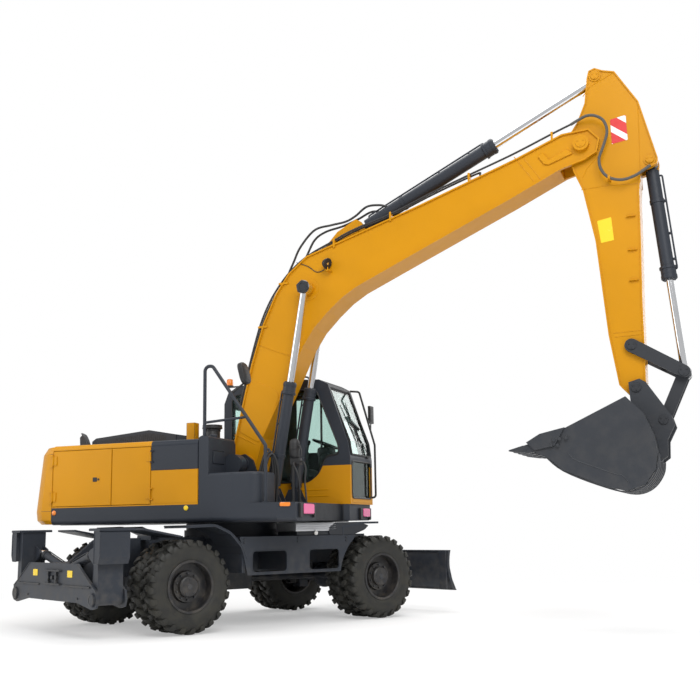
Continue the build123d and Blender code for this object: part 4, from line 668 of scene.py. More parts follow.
class EXCAVATOR_OT_undercarriage(bpy.types.Operator):
    """Add the slewing ring's bolts, the side plates' rims, welds and bolts, the fenders' lips and the step"""
    bl_idname = "excavator.undercarriage"
    bl_label = "Undercarriage Trim"

    def execute(self, context):
        turns = whole_turn(36)
        ring = [(560 * math.cos(t), 560 * math.sin(t), 1144) for t in turns]
        ring += [(648 * math.cos(t), 648 * math.sin(t), 1060) for t in turns[::2] if abs(math.sin(t)) < 0.45]
        add_piece("ring_bolts", hexagons(ring, UP, 14, 14), "undercarriage", "deep")
        rims, welds = [], []
        for side in (-1, 1):
            outer = side * SIDE_PLATE
            for middle, half in ((-200, 250), (615, 235)):
                hole = rounded(box_outline((middle - half, 640), (middle + half, 890)), 60, 7)
                rims.append(tube(ringed(hole, outer - side * 2, "y"), 7, 8))
            edge = np.array(((-510, 612), (-618, 1053), *PLATE_FRONT), float)
            welds.append(tube(bent(on_plane(edge, outer - side * 3, "y"), 30), 5, 8))
            welds += [straight((x, outer - side * 26, 640), (x, outer - side * 26, 1030), 6, 8) for x in (-544, 226)]
        add_piece("window_rims", rims + welds, "undercarriage", "slate")
        bolts = [(x, side * SIDE_PLATE, z) for side in (-1, 1) for x in (-560, 210, 960) for z in (985, 1025)]
        add_piece("plate_bolts", hexagons(bolts[:6], (0, -1, 0), 13, 10) + hexagons(bolts[6:], (0, 1, 0), 13, 10),
                  "undercarriage", "deep")
        arch = [(-1330, 1190), (-950, 1200), (-740, 1112), (-590, 960), (-522, 802)]
        lips = [tube(bent(on_plane(np.array(arch, float), side * 1158, "y"), 60), 8, 8) for side in (-1, 1)]
        lips += [straight((-1330, side * 642, 1190), (-1330, side * 1158, 1190), 8, 8) for side in (-1, 1)]
        add_piece("fender_lips", lips, "undercarriage", "slate")
        ribs = [soft_box((190, -1152, 1106), (806, -724, 1208), 8, "x", 4)]
        ribs += [soft_box((196, y - 9, 1204), (800, y + 9, 1213), 4, "z", 2) for y in range(-1125, -735, 42)]
        ribs += [soft_box((190, -1158, z - 7), (806, -1149, z + 7), 4, "y", 2) for z in (1132, 1156, 1180)]
        add_piece("step_treads", ribs, "undercarriage", "alloy", instead=("step_box",))
        stand = [soft_box((210, -1140, 1055.5), (786, -730, 1107), 8, "x", 3)]
        fender = [(700, 1056), (690, 1150), (790, 1208), (930, 1212), (1230, 1196), (1342, 1168), (1270, 1112),
                  (1084, 1054)]
        stand.append(plate(rounded(fender, 24), -1158, -1128, 4))
        stand.append(shell([[(x, -690, z), (x, -690, z + 6), (x, -1150, z + 6), (x, -1150, z)]
                            for x, z in ((930, 1206), (1230, 1190), (1330, 1164))]))
        stand.append(plate(rounded(fender, 24), 1128, 1158, 4))
        add_piece("step_stand", stand, "undercarriage", "deep")
        add_piece("side_marker", [lathe([(26, 0), (26, 8), (16, 18), (0.5, 21)], (488, -1157, 1086), (0, -1, 0), 20)],
                  "undercarriage", "white")
        return {"FINISHED"}


class EXCAVATOR_OT_stabilisers(bpy.types.Operator):
    """Add the reflectors, tow bracket, pin covers, welds and cylinder fittings of the stabilisers"""
    bl_idname = "excavator.stabilisers"
    bl_label = "Stabiliser Trim"

    def execute(self, context):
        back = BEAM_BACK
        plates = [soft_box((back - 5, side * 490 - 65, 650), (back, side * 490 + 65, 724), 6, "x", 1.5)
                  for side in (-1, 1)]
        add_piece("reflectors", plates, "undercarriage", "reflector")
        steel = [soft_box((back - 34, -265, 708), (back, 185, 726), 5, "x", 3),
                 soft_box((back - 34, -265, 560), (back, 185, 578), 5, "x", 3)]
        for y in (-150, 70):
            hook = [(y - 22, 712), (y + 22, 712), (y + 8, 676), (y + 26, 640), (y + 8, 606), (y + 22, 574),
                    (y - 22, 574), (y - 8, 606), (y - 26, 640), (y - 8, 676)]
            steel.append(plate(rounded(hook, 10), back - 28, back + 2, 3, "x"))
        steel.append(lathe([(24, 0), (24, 30), (16, 34)], (back + 2, -40, 640), (-1, 0, 0), 24))
        steel += [soft_box((back - 16, low, 548), (back, low + 670, 566), 5, "x", 3) for low in (-1020, 350)]
        for side in (-1, 1):
            pin = (back - 16, side * 1080, 430)
            steel.append(lathe([(70, 0), (70, 6), (58, 10), (46, 10), (42, 6), (20, 7), (0.5, 7)], pin, (-1, 0, 0)))
            steel += hexagons([(back, side * y, z) for y, z in ((830, 552), (960, 560), (700, 430))], (-1, 0, 0), 13, 9)
            steel.append(tube([(back - 2, side * y, z) for y, z in ((672, 796), (998, 606), (1160, 520))], 6, 8))
        add_piece("tow_bracket", steel, "undercarriage", "deep")
        for side, name in ((1, "left"), (-1, "right")):
            leg = "outrigger_" + name
            rim = [(1104, 802), (1104, 1148), (1234, 1148), (1249, 1118), (1249, 872), (1214, 802)]
            path = ringed([(side * y, z) for y, z in rim], back - 9, "x")
            low, high = span(side, 990, 1250)
            feet = [tube(bent(path, 14), 6, 8), soft_box((back - 16, low, 1171), (-2010, high, 1176), 8, "z", 2)]
            feet += [straight((x, side * 1022, 470), (x, side * 1012, 1140), 6, 8) for x in (-2367, -2083)]
            add_piece("foot_welds_" + name, feet, leg, "slate")
            leg_x = -2225 + side * 72
            base, lug = np.array((leg_x, side * 30, 680.0)), np.array((leg_x, side * 890, 900.0))
            along = (lug - base) / np.linalg.norm(lug - base)
            fittings = [lathe([(46.5, 0), (54, 3), (54, 60), (49, 66), (36, 66)], base + along * 745, along, 28),
                        lathe([(46.5, 0), (51, 2), (51, 16), (46.5, 18)], base + along * 210, along, 28)]
            above = np.cross(along, (1, 0, 0)) * -side
            start, end = base + along * 130 + above * 66, base + along * 720 + above * 66
            fittings.append(tube(bent([start - above * 26, start, end, end - above * 20], 20), 7, 8))
            add_piece("leg_cylinder_fittings_" + name, fittings, "outrigger_barrel_" + name, "deep")
        return {"FINISHED"}


class EXCAVATOR_OT_blade(bpy.types.Operator):
    """Add the blade's cutting edge, end plates, top bar and bolts"""
    bl_idname = "excavator.blade"
    bl_label = "Blade Trim"

    def execute(self, context):
        ends = []
        face = [(2692, 818), (2694, 600), (2738, 430), (2808, 288), (2752, 288), (2690, 430), (2650, 600), (2672, 818)]
        for side in (-1, 1):
            low, high = span(side, 1210, 1229)
            ends.append(plate(rounded(face, 12), low, high, 3))
            low, high = span(side, 1070, 1210)
            ends.append(soft_box((2640, low, 300), (2662, high, 812), 5, "x", 3))
        ends.append(soft_box((2655, -1215, 800), (2720, 1215, 819), 6, "z", 4))
        add_piece("blade_ends", ends, "blade", "slate")
        edge = [soft_box((2742, -1225, 286), (2809, 1225, 300), 4, "z", 3)]
        heads = [(2762, y, 300) for y in np.linspace(-1150, 1150, 9)]
        add_piece("cutting_edge", edge + hexagons(heads, UP, 15, 10), "blade", "steel")
        eyes = [disc((2685, side * 1209, 775), (0, -side, 0), 26, 5, 2) for side in (-1, 1)]
        add_piece("blade_eyes", eyes, "blade", "deep")
        return {"FINISHED"}


# Trim of the upper works.

class EXCAVATOR_OT_housing(bpy.types.Operator):
    """Add the panels, latches and louvres of the engine housing, and the vents and grips of its lid"""
    bl_idname = "excavator.housing"
    bl_label = "Housing Trim"

    def execute(self, context):
        for name, rear, front, side in SIDE_DOORS:
            low, high = span(side, HALF, HALF + 3)
            skin = plate(rounded(box_outline((rear + 2, 1462), (front - 2, 2148)), 8), low, high, 3)
            add_piece(name + "_skin", [skin], name, "yellow")
            if name == "door_right_front":
                continue
            low, high = span(side, HALF + 2, HALF + 6)
            catch = [soft_box((LATCH_X - 62, low, 1735), (LATCH_X + 62, high, 1823), 14, "y", 1.5)]
            add_piece(name + "_catch_rim", catch, name, "yellow")
            low, high = span(side, HALF + 3, HALF + 9)
            paddle = [soft_box((LATCH_X - 45, low, 1752), (LATCH_X + 20, high, 1806), 10, "y", 2),
                      lathe([(13, 0), (13, 7), (9, 9), (0.5, 9)], (LATCH_X + 40, side * (HALF + 4), 1779),
                            (0, side, 0), 20)]
            add_piece(name + "_catch", paddle, name, "black")
            if name == "door_left":
                slats = []
                for level in np.linspace(1560, 1990, 12):
                    slat = [(0, 0), (0, 22), (14, 4), (14, 0)]
                    rows = [[(x, side * (HALF + 3 + out * grow), level + up * grow) for out, up in slat]
                            for x, grow in ((-1720, 0.05), (-1700, 1), (-1260, 1), (-1240, 0.05))]
                    slats.append(shell(rows))
                add_piece("left_louvres", slats, name, "yellow")
        for name, low, high, finish in (("side_panel", 1465, 1856, "yellow"), ("side_panel_top", 1864, 2150, "slate")):
            add_piece(name, [soft_box((-452, -HALF - 3, low), (187, -HALF, high), 12, "y", 2)], "upper", finish)
        slots = []
        for x in np.linspace(-1690, -640, 36):
            top = np.interp(x, (-1750, -1690, -880, -480), (2281, 2318, 2388, 2316))
            slot = rounded(box_outline((x - 9, 2262), (x + 9, top)), 8, 4)
            slots += [plate(slot, level - 2, level + 2, 1) for level in (-LID_HALF - 1, LID_HALF + 1)]
        add_piece("lid_louvres", slots, "hood_lid", "black")
        vents = []
        for x in np.linspace(-1560, -980, 13):
            rise = np.interp(x, (-1690, -880), (2355, 2425))
            rows = [[(x - 20, y, rise - 2), (x + 18, y, rise + 14 * grow), (x + 20, y, rise + 1)]
                    for y, grow in ((-470, 0.05), (-450, 1), (450, 1), (470, 0.05))]
            vents.append(shell(rows))
        add_piece("lid_vents", vents, "hood_lid", "slate")
        grips = []
        for x in (-1500, -720):
            level = np.interp(x, (-1690, -880, -480), (2355, 2425, 2350)) - 4
            grips.append(tube(bent([(x - 70, 560, level), (x - 70, 560, level + 42), (x + 70, 560, level + 42),
                                    (x + 70, 560, level)], 22), 9, 10))
        add_piece("lid_grips", grips, "hood_lid", "black")
        return {"FINISHED"}


def weight_outline(level, out):
    """The counterweight's rim at a level, pushed out a little: straight sides, a round corner and a flat back."""
    levels, ends, halves = zip(*WEIGHT_TABLE)
    end, half = np.interp(level, levels, ends) - out, np.interp(level, levels, halves) + out
    corner = arc((end + 320, half - 10), (end + 110, half - 190), (end, half - 560), 16)
    side = np.array([(TAIL_SEAM - 8, half), *corner])
    both = np.concatenate((side, side[::-1] * (1, -1)))
    return np.column_stack((both, np.full(len(both), float(level))))


class EXCAVATOR_OT_counterweight(bpy.types.Operator):
    """Add the seams, lifting eyes and plugs of the counterweight, and the dark plate under the platform that stands for
    the shade there
    """
    bl_idname = "excavator.counterweight"
    bl_label = "Counterweight Trim"

    def execute(self, context):
        eyes = []
        for side in (-1, 1):
            lug = [(-2070, 2208), (-2070, 2238), (-2045, 2262), (-1985, 2262), (-1960, 2238), (-1960, 2208)]
            eyes.append(plate(rounded(lug, 14), side * 640 - 16, side * 640 + 16, 4))
        eyes.append(plate(rounded(box_outline((-2100, -260), (-1950, 260)), 24), 2208, 2219, 4, "z"))
        add_piece("lifting_eyes", eyes, "upper", "yellow")
        seams = [tube(weight_outline(level, -3.4), 4.2, 6) for level in (1405, 2120)]
        add_piece("weight_seams", seams, "upper", "black")
        holes = [lathe([(52, 0), (52, 7), (44, 10), (36, 6), (0.5, 5)], (-2362, y, 1345), (-1, 0, 0.14), 28)
                 for y in (-520, 520)]
        add_piece("weight_plugs", holes, "upper", "black")
        # Painted shade: a deep slate plate fills the gap under the platform so that it reads as the dark shadow there.
        floor = [soft_box((330, -1150, BELLY), (1190, 1150, BELLY + 19), 60, "z", 4)]
        add_piece("belly_plate", floor, "upper", "deep")
        return {"FINISHED"}


class EXCAVATOR_OT_roof_fittings(bpy.types.Operator):
    """Add the tail pipe, the air cleaner, the roof's post, the tank's fittings and the valve bowl with its hoses"""
    bl_idname = "excavator.roof_fittings"
    bl_label = "Roof Fittings"

    def execute(self, context):
        rows = []
        for t in np.linspace(0, 1, 14):
            centre = (-1800 - 62 * t ** 2, -645, 2222 + 190 * t)
            wide, deep = 46 + 6 * t, 42 - 10 * t
            rows.append([(centre[0] + deep * math.cos(a), centre[1] + wide * math.sin(a),
                          centre[2] - 0.7 * t * deep * math.cos(a)) for a in whole_turn(20)])
        add_piece("tail_pipe", [shell(rows)], "upper", "black")
        bowl = [lathe(profile, CLEANER, UP) for profile in (
            [(96, 0), (97, 6), (97, 120), (92, 128), (92, 150), (108, 156)],
            [(60, 150), (124, 158), (126, 170), (118, 184), (70, 196), (30, 204), (0.5, 206)])]
        for t in whole_turn(16):
            x, y = CLEANER[0] + 98 * math.cos(t), CLEANER[1] + 98 * math.sin(t)
            bowl.append(soft_box((x - 5, y - 5, 2345), (x + 5, y + 5, 2384), 3, "z", 2))
        add_piece("air_cleaner", bowl, "upper", "black")
        post = [soft_box((-249, -763, 2221), (-127, -647, 2471), 16, "z", 8)]
        add_piece("roof_post", post, "upper", "yellow")
        tank = [soft_box((331, -1118, 1925), (338, -847, 2073), 18, "x", 3),
                lathe([(52, 0), (52, 26), (44, 34), (20, 37), (0.5, 38)], (262, -980, 2245), UP, 28),
                straight((BOX_SEAM, -1222, 1480), (BOX_SEAM, -1222, 1790), 4, 6)]
        add_piece("tank_fittings", tank, "upper", "slate")
        bowl = [lathe([(30, 1985), (48, 1992), (60, 2012), (63, 2030), (63, 2170), (58, 2200), (40, 2222), (16, 2230),
                       (0.5, 2231)], (*VALVE, 0), UP),
                lathe([(63, 0), (67, 3), (67, 19), (63, 22)], (*VALVE, 2092), UP),
                soft_box((1062, -522, 1905), (1196, -434, 1988), 14, "y", 6),
                disc((1150, -478, 2132), (0.8, -0.5, 0.2), 24, 46, 6),
                soft_box((1070, -520, 1441), (1200, -436, 1462), 10, "z", 4)]
        bowl += hexagons([(x, y, 1462) for x in (1084, 1186) for y in (-506, -450)], UP, 10, 9)
        add_piece("valve_bowl", bowl, "upper", "black")
        pipes = [straight((x, y, 1458), (x, y, 1915), radius, 12)
                 for x, y, radius in ((1090, -486, 18), (1166, -474, 16))]
        runs = [([(1130, -520, 1940), (1140, -566, 1900), (1190, -580, 1800), (1210, -560, 1640), (1205, -540, 1500),
                  (1204, -540, 1440)], 40, 11),
                ([(1190, -478, 1950), (1236, -480, 1930), (1262, -486, 1840), (1250, -490, 1700), (1262, -490, 1560),
                  (1270, -490, 1440)], 40, 11),
                ([(1160, -500, 2140), (1205, -520, 2120), (1225, -530, 2030), (1180, -532, 1950)], 30, 9)]
        for lean in (0, 34, 68):
            runs.append(([(640 + lean, -560, 1700), (690 + lean, -500, 1990), (742 + lean, -462, 2120 - lean),
                          (790 + lean, -446, 1990 - lean), (800 + lean, -440, 1760), (780 + lean, -438, 1560),
                          (774 + lean, -438, 1440)], 60, 15))
        pipes += [tube(smooth_curve(line, samples), radius, 10) for line, samples, radius in runs]
        add_piece("foot_hoses", pipes, "upper", "hose")
        return {"FINISHED"}


class EXCAVATOR_OT_lamps(bpy.types.Operator):
    """Add the beacon and the lamps of the tail, the side, the corner and the front, with their bezels"""
    bl_idname = "excavator.lamp_faces"
    bl_label = "Lamps"

    def execute(self, context):
        domes = [lathe([(30, 0), (30, 6), (24, 13), (12, 18), (0.5, 20)], (-1854, -HALF, 1383), (0, -1, 0), 24),
                 lathe([(46, 0), (47, 10), (46, 66), (40, 92), (26, 106), (0.5, 112)], BEACON, UP, 28)]
        add_piece("turn_lamps", domes, "upper", "amber")
        amber = turned(soft_box((-64, -14, -22), (64, 4, 22), 16, "y", 6), CORNER_LAMP, 45)
        bezel = turned(soft_box((-76, -5, -31), (76, 4, 31), 18, "y", 3), CORNER_LAMP, 45)
        add_piece("corner_lamp", [amber], "upper", "amber")
        add_piece("corner_lamp_bezel", [bezel], "upper", "black")
        add_piece("side_lamp", [lathe([(30, 0), (30, 8), (22, 16), (0.5, 20)], (36, -HALF, 1401), (0, -1, 0), 24)],
                  "upper", "reflector")
        lenses, bezels = [], []
        for y, x, half, low, high in ((-745, 1408, 152, 1308, 1427), (978, 1494, 126, 1282, 1389)):
            lenses.append(soft_box((x - 1, y - half, low), (x + 12, y + half, high), 24, "x", 6))
            bezels += [soft_box((x - 23, y + a, low - 40), (x + 6, y + b, high + 6), 8, "x", 3)
                       for a, b in ((-half - 90, -half - 10), (half + 10, half + 50))]
        add_piece("work_lenses", lenses, "upper", "rose")
        add_piece("lamp_bezels", bezels, "upper", "black")
        foot = lathe([(56, -1), (56, 7), (52, 15), (46, 17)], BEACON, UP, 28)
        add_piece("beacon_foot", [foot], "upper", "black")
        return {"FINISHED"}


class EXCAVATOR_OT_cab(bpy.types.Operator):
    """Add the cab's window seals, wiper, ribs, roof hatch, door handle and mirrors"""
    bl_idname = "excavator.cab_trim"
    bl_label = "Cab Trim"

    def execute(self, context):
        openings = {
            "right": ([(-230, 2080), (-230, 2900), (-150, 2960), (1020, 2960), (1330, 2200), (1330, 2085), (1160, 2070),
                       (1040, 1840), (900, 1740), (300, 1740), (100, 1800), (0, 2000)], CAB_RIGHT - 2, "upper"),
            "left": ([(-240, 2000), (-240, 2900), (50, 2900), (50, 2000)], CAB_LEFT + 2, "upper"),
            "door": ([(190, 2080), (190, 2944), (1020, 2944), (1285, 2225), (1320, 2080)], CAB_LEFT + 2, "cab_door")}
        for name, (outline, y, body) in openings.items():
            hole = rounded(outline, 60, 6)
            add_piece("seal_" + name, [tube(ringed(hole, y, "y"), 10, 8)], body, "black")
        low = rounded(box_outline((CAB_RIGHT + 55, 1520), (CAB_LEFT - 55, 2000)), 60, 6)
        rear = rounded(box_outline((CAB_RIGHT + 250, 2050), (CAB_LEFT - 110, 2800)), 60, 6)
        screen = ((1185, 2955), (1200, 2958), (CAB_FRONT - 22, 2262), (CAB_FRONT + 2, 2085))
        frame_path = [(x, CAB_RIGHT + 52, z) for x, z in screen]
        frame_path += [(x, CAB_LEFT - 52, z) for x, z in screen[::-1]] + frame_path[:1]
        seals = [tube(ringed(low, CAB_FRONT + 2, "x"), 10, 8), tube(bent(frame_path, 20), 12, 8),
                 tube(ringed(rear, CAB_REAR - 2, "x"), 10, 8)]
        add_piece("seal_front", seals, "upper", "black")
        arm_start = np.array((CAB_FRONT + 4, CAB_MID + 210, 2075.0))
        blade_low, blade_high = np.array((1470, CAB_MID - 30, 2200.0)), np.array((1280, CAB_MID - 60, 2800.0))
        wiper = [tube(bent([arm_start, arm_start + (18, 0, 30), (blade_low + blade_high) / 2 + (12, 0, 0)], 20), 6, 8),
                 straight(blade_low + (14, 0, 0), blade_high + (14, 0, 0), 7, 8),
                 disc(arm_start, (1, 0, 0), 24, 16)]
        add_piece("wiper", wiper, "upper", "black")
        ribs = [soft_box((600, CAB_RIGHT - 5, z - 9), (1180, CAB_RIGHT, z + 9), 8, "y", 2) for z in (1555, 1637)]
        add_piece("cab_ribs", ribs, "upper", "yellow")
        step = [soft_box((CAB_FRONT, CAB_RIGHT + 60, 1462), (CAB_FRONT + 5, CAB_LEFT - 60, 1500), 10, "x", 2)]
        add_piece("cab_front_rib", step, "upper", "yellow")
        roof = [soft_box((150, CAB_RIGHT + 180, CAB_TOP - 20), (820, CAB_LEFT - 180, CAB_TOP + 22), 60, "z", 8)]
        roof += [soft_box((200, y - 14, CAB_TOP + 20), (770, y + 14, CAB_TOP + 30), 8, "z", 4)
                 for y in np.linspace(CAB_RIGHT + 240, CAB_LEFT - 240, 4)]
        for y in (CAB_RIGHT + 60, CAB_LEFT - 60):
            roof.append(tube(bent([(110, y, CAB_TOP - 8), (110, y, CAB_TOP + 40), (880, y, CAB_TOP + 34),
                                   (900, y, CAB_TOP - 10)], 40), 12, 10))
        add_piece("roof_hatch", roof, "upper", "deep")
        handle = [tube(bent([(300, CAB_LEFT + 4, 1960), (300, CAB_LEFT + 34, 1960), (470, CAB_LEFT + 34, 1960),
                             (470, CAB_LEFT + 4, 1960)], 18), 9, 10),
                  soft_box((270, CAB_LEFT, 1925), (500, CAB_LEFT + 6, 1995), 18, "y", 2)]
        add_piece("door_handle", handle, "cab_door", "black")
        left = CAB_LEFT + 88
        shape = rounded(box_outline((left - 56, 2568), (left + 56, 2792)), 45, 7)
        add_piece("mirror_shell_1456", [plate(shape, 1436, 1480, 14, "x")], "upper", "black")
        small = rounded(box_outline((left - 42, 2582), (left + 42, 2778)), 38, 7)
        mirrors = [plate(small, 1433, 1438, 1, "x")]
        oval = rounded(box_outline((-95, -134), (95, 134)), 90, 9)
        spot, ahead, rise = np.array((746, RAIL_Y - 12, 2966)), np.array((0.968, 0, 0.25)), np.array((-0.25, 0, 0.968))
        cover, pane = (shell([spot + ahead * reach + size * (oval[:, :1] * (0, 1, 0) + oval[:, 1:] * rise)
                              for reach, size in steps])
                       for steps in (((-2, 0.9), (-4, 0.99), (6, 1.02), (34, 1.02), (54, 0.93), (66, 0.72), (72, 0.4),
                                      (74, 0.03)), ((-3, 0.84), (-6, 0.86), (-7, 0.8))))
        add_piece("mirror_shell_right", [cover], "upper", "black")
        add_piece("mirror_glass", mirrors + [pane], "upper", "mirror")
        return {"FINISHED"}


class EXCAVATOR_OT_seat(bpy.types.Operator):
    """Add the seat's cushions, the consoles with their levers, the steering wheel and the dark panels inside the door,
    partly trim and partly painted shade behind its window
    """
    bl_idname = "excavator.seat_cushions"
    bl_label = "Seat"

    def execute(self, context):
        base = cushion((250, CAB_MID - 238, 1802), (795, CAB_MID + 238, 1938), 2, 34)
        back = cushion((0, CAB_MID - 218, 0), (130, CAB_MID + 218, 640), 0, 30)
        lean = math.radians(-13)
        x, y, z = np.moveaxis(back["points"], -1, 0)
        back["points"] = np.stack((190 + x * math.cos(lean) + z * math.sin(lean), y,
                                   1945 - x * math.sin(lean) + z * math.cos(lean)), -1)
        for name, part in (("seat_base", base), ("seat_back", back)):
            piece = add_piece(name, [part], "upper", "seat", crease=60)
        plinth = soft_box((270, CAB_MID - 130, 1495), (740, CAB_MID + 130, 1800), 30, "z", 10)
        add_piece("seat_plinth", [plinth], "upper", "cabin", instead=("seat",))
        consoles = [soft_box((930, CAB_MID - 170, 1500), (1130, CAB_MID + 190, 2120), 60, "y", 20),
                    soft_box((900, CAB_MID - 120, 2090), (1080, CAB_MID + 120, 2215), 50, "y", 16)]
        consoles += [soft_box((360, CAB_MID + y, 1700), (850, CAB_MID + y + 72, 2175), 60, "y", 14)
                     for y in (-330, 258)]
        add_piece("cab_consoles", consoles, "upper", "cabin")
        turns, around = np.linspace(0, 2 * math.pi, 49)[:-1], whole_turn(10)[None, :, None]
        x, y, z = STEERING
        wheel = np.stack((x + 175 * np.cos(turns) * 0.93, y + 175 * np.sin(turns), z - 66 * np.cos(turns)), 1)
        outward = (wheel - STEERING) / 175
        rise = np.array((0.36, 0, 0.93))
        rim = wheel[:, None] + 14 * (np.cos(around) * outward[:, None] + np.sin(around) * rise)
        steer = [shell(rim, loop=True), straight((985, y, 2205), STEERING, 26, 16)]
        steer += [straight((x, y, z - 4), tuple(wheel[k]), 10, 8) for k in (4, 20, 36)]
        for y in (CAB_MID - 294, CAB_MID + 294):
            steer += [straight((830, y, 2170), (848, y, 2235), 11, 10),
                      lathe([(12, 0), (24, 14), (27, 50), (22, 70), (0.5, 76)], (846, y, 2225), (0.26, 0, 0.97), 18)]
        add_piece("steering_wheel", steer, "upper", "black")
        # Dark panels inside the door: partly trim, partly painted shade that darkens the view through the door's
        # window.
        post = [soft_box((150, CAB_LEFT - 74, 2070), (400, CAB_LEFT - 60, 2950), 30, "y", 4),
                soft_box((760, CAB_LEFT - 74, 2060), (792, CAB_LEFT - 60, 2960), 8, "y", 4)]
        add_piece("door_inner_trim", post, "cab_door", "cabin")
        return {"FINISHED"}


def cushion(low, high, up, soft):
    """A stuffed block: a superellipsoid between two corners, its face along one axis pressed in by shallow
    cosine valleys."""
    low, high = np.asarray(low, float), np.asarray(high, float)
    middle, half = (low + high) / 2, (high - low) / 2
    lat = np.linspace(-math.pi / 2 + 0.02, math.pi / 2 - 0.02, 40)[:, None]
    lon = whole_turn(72)[None, :]

    def power(value):
        return np.sign(value) * np.abs(value) ** 0.3

    unit = np.stack((power(np.cos(lat)) * power(np.cos(lon)), power(np.cos(lat)) * power(np.sin(lon)),
                     power(np.sin(lat)) * np.ones_like(lon)), -1)
    dent = np.clip(unit[..., up], 0, 1) * soft * 0.4 * np.cos(unit[..., 1] * math.pi * 1.5) ** 2
    unit[..., up] -= dent / half[up]
    return shell(middle + unit * half)


# Trim of the boom, arm and bucket.

def pin_cover(x, z, y, side, radius):
    """A retaining plate on a pin's end, with its bolts."""
    spots = [(x + radius * 0.62 * math.cos(t), y + side * 10, z + radius * 0.62 * math.sin(t))
             for t in whole_turn(3) + 0.5]
    return [disc((x, y, z), (0, side, 0), radius, 11, 3)] + hexagons(spots, (0, side, 0), 9, 8)


def weld(points, radius=6.0):
    """A weld bead: a tube with points every 10 mm whose radius ripples every 24 mm."""
    path = bent(points, 30, 6) if len(points) > 2 else np.asarray(points, float)
    reach = np.concatenate(((0,), np.cumsum(np.linalg.norm(np.diff(path, axis=0), axis=1))))
    place = np.linspace(0, reach[-1], max(int(reach[-1] / 10), 4))
    dense = np.stack([np.interp(place, reach, path[:, k]) for k in range(3)], 1)
    return tube(dense, radius * (1 + 0.14 * np.sin(place * 2 * math.pi / 24)), 6)


def side_line(points, y):
    """Points in x and z put on both sides of the boom or the arm."""
    return [[(x, side * y, z) for x, z in points] for side in (-1, 1)]


class EXCAVATOR_OT_boom(bpy.types.Operator):
    """Add the boom's weld lines, stiffening plates, pin covers and work lamp"""
    bl_idname = "excavator.boom_fittings"
    bl_label = "Boom Fittings"

    def execute(self, context):
        web = BOOM_HALF - 22
        beads = []
        for line in ([(473, 3506), (671, 3419), (920, 3329), (1040, 3290)], [(135, 2345), (230, 2313), (428, 2215)],
                     [(3932, 5537), (4155, 5201)], [(4051, 5500), (4240, 5206)]):
            beads += [weld(side) for side in side_line(line, web)]
        add_piece("boom_welds", beads, "boom", "yellow")
        doubler = [(215, 2380), (318, 2960), (450, 3015), (669, 2930), (755, 2845), (770, 2790), (620, 2480),
                   (480, 2230)]
        gusset = [(4220, 5492), (4283, 5530), (4352, 5430), (4560, 5530), (4640, 5470), (4342, 5371), (4289, 5386)]
        collar = [(ROD_EYE[0] + 145 * math.cos(t), ROD_EYE[1] + 145 * math.sin(t)) for t in whole_turn(24)]
        plates = []
        for side in (-1, 1):
            for shape, soft, out, bevel in ((doubler, 30, 7, 3), (collar, 2, 7, 3), (gusset, 14, 22, 5)):
                plates.append(plate(rounded(shape, soft), *span(side, web - 1, web + out), bevel))
            plates += pin_cover(*TIP, side * (BOOM_HALF + 44), side, 62)
        add_piece("boom_plates", plates, "boom", "yellow")
        covers = pin_cover(*FOOT, BOOM_HALF + 66, 1, 70) + pin_cover(*FOOT, -BOOM_HALF - 66, -1, 70)
        add_piece("foot_pin_covers", covers, "upper", "slate")
        lamp = lamp_shape((1492, -BOOM_HALF - 62, 4458), (0.86, -0.3, -0.35))
        add_piece("boom_lamp", lamp[:2], "boom", "black")
        add_piece("boom_lamp_lens", lamp[2:], "boom", "mirror")
        bracket = [soft_box((1470, -BOOM_HALF - 70, 4362), (1530, -web, 4374), 6, "z", 2),
                   soft_box((1494, -BOOM_HALF - 70, 4372), (1506, -BOOM_HALF - 55, 4410), 4, "x", 2)]
        add_piece("boom_lamp_bracket", bracket, "boom", "yellow")
        cable = [(1032, -web - 6, 4541), (1190, -web - 6, 4474), (1308, -web - 6, 4387), (1405, -web - 14, 4394),
                 (1470, -BOOM_HALF - 50, 4430)]
        add_piece("lamp_cable", [tube(smooth_curve(cable, 40), 5, 8)], "boom", "hose")
        return {"FINISHED"}


def lamp_shape(centre, aim):
    """A round work lamp: its housing, its rim and its lens, facing along aim."""
    return [lathe([(20, -62), (44, -50), (62, -20), (66, 0), (66, 8)], centre, aim, 28),
            lathe([(66, 0), (72, 2), (72, 14), (62, 16)], centre, aim, 28),
            lathe([(61, 9), (50, 14), (0.5, 17)], centre, aim, 28)]


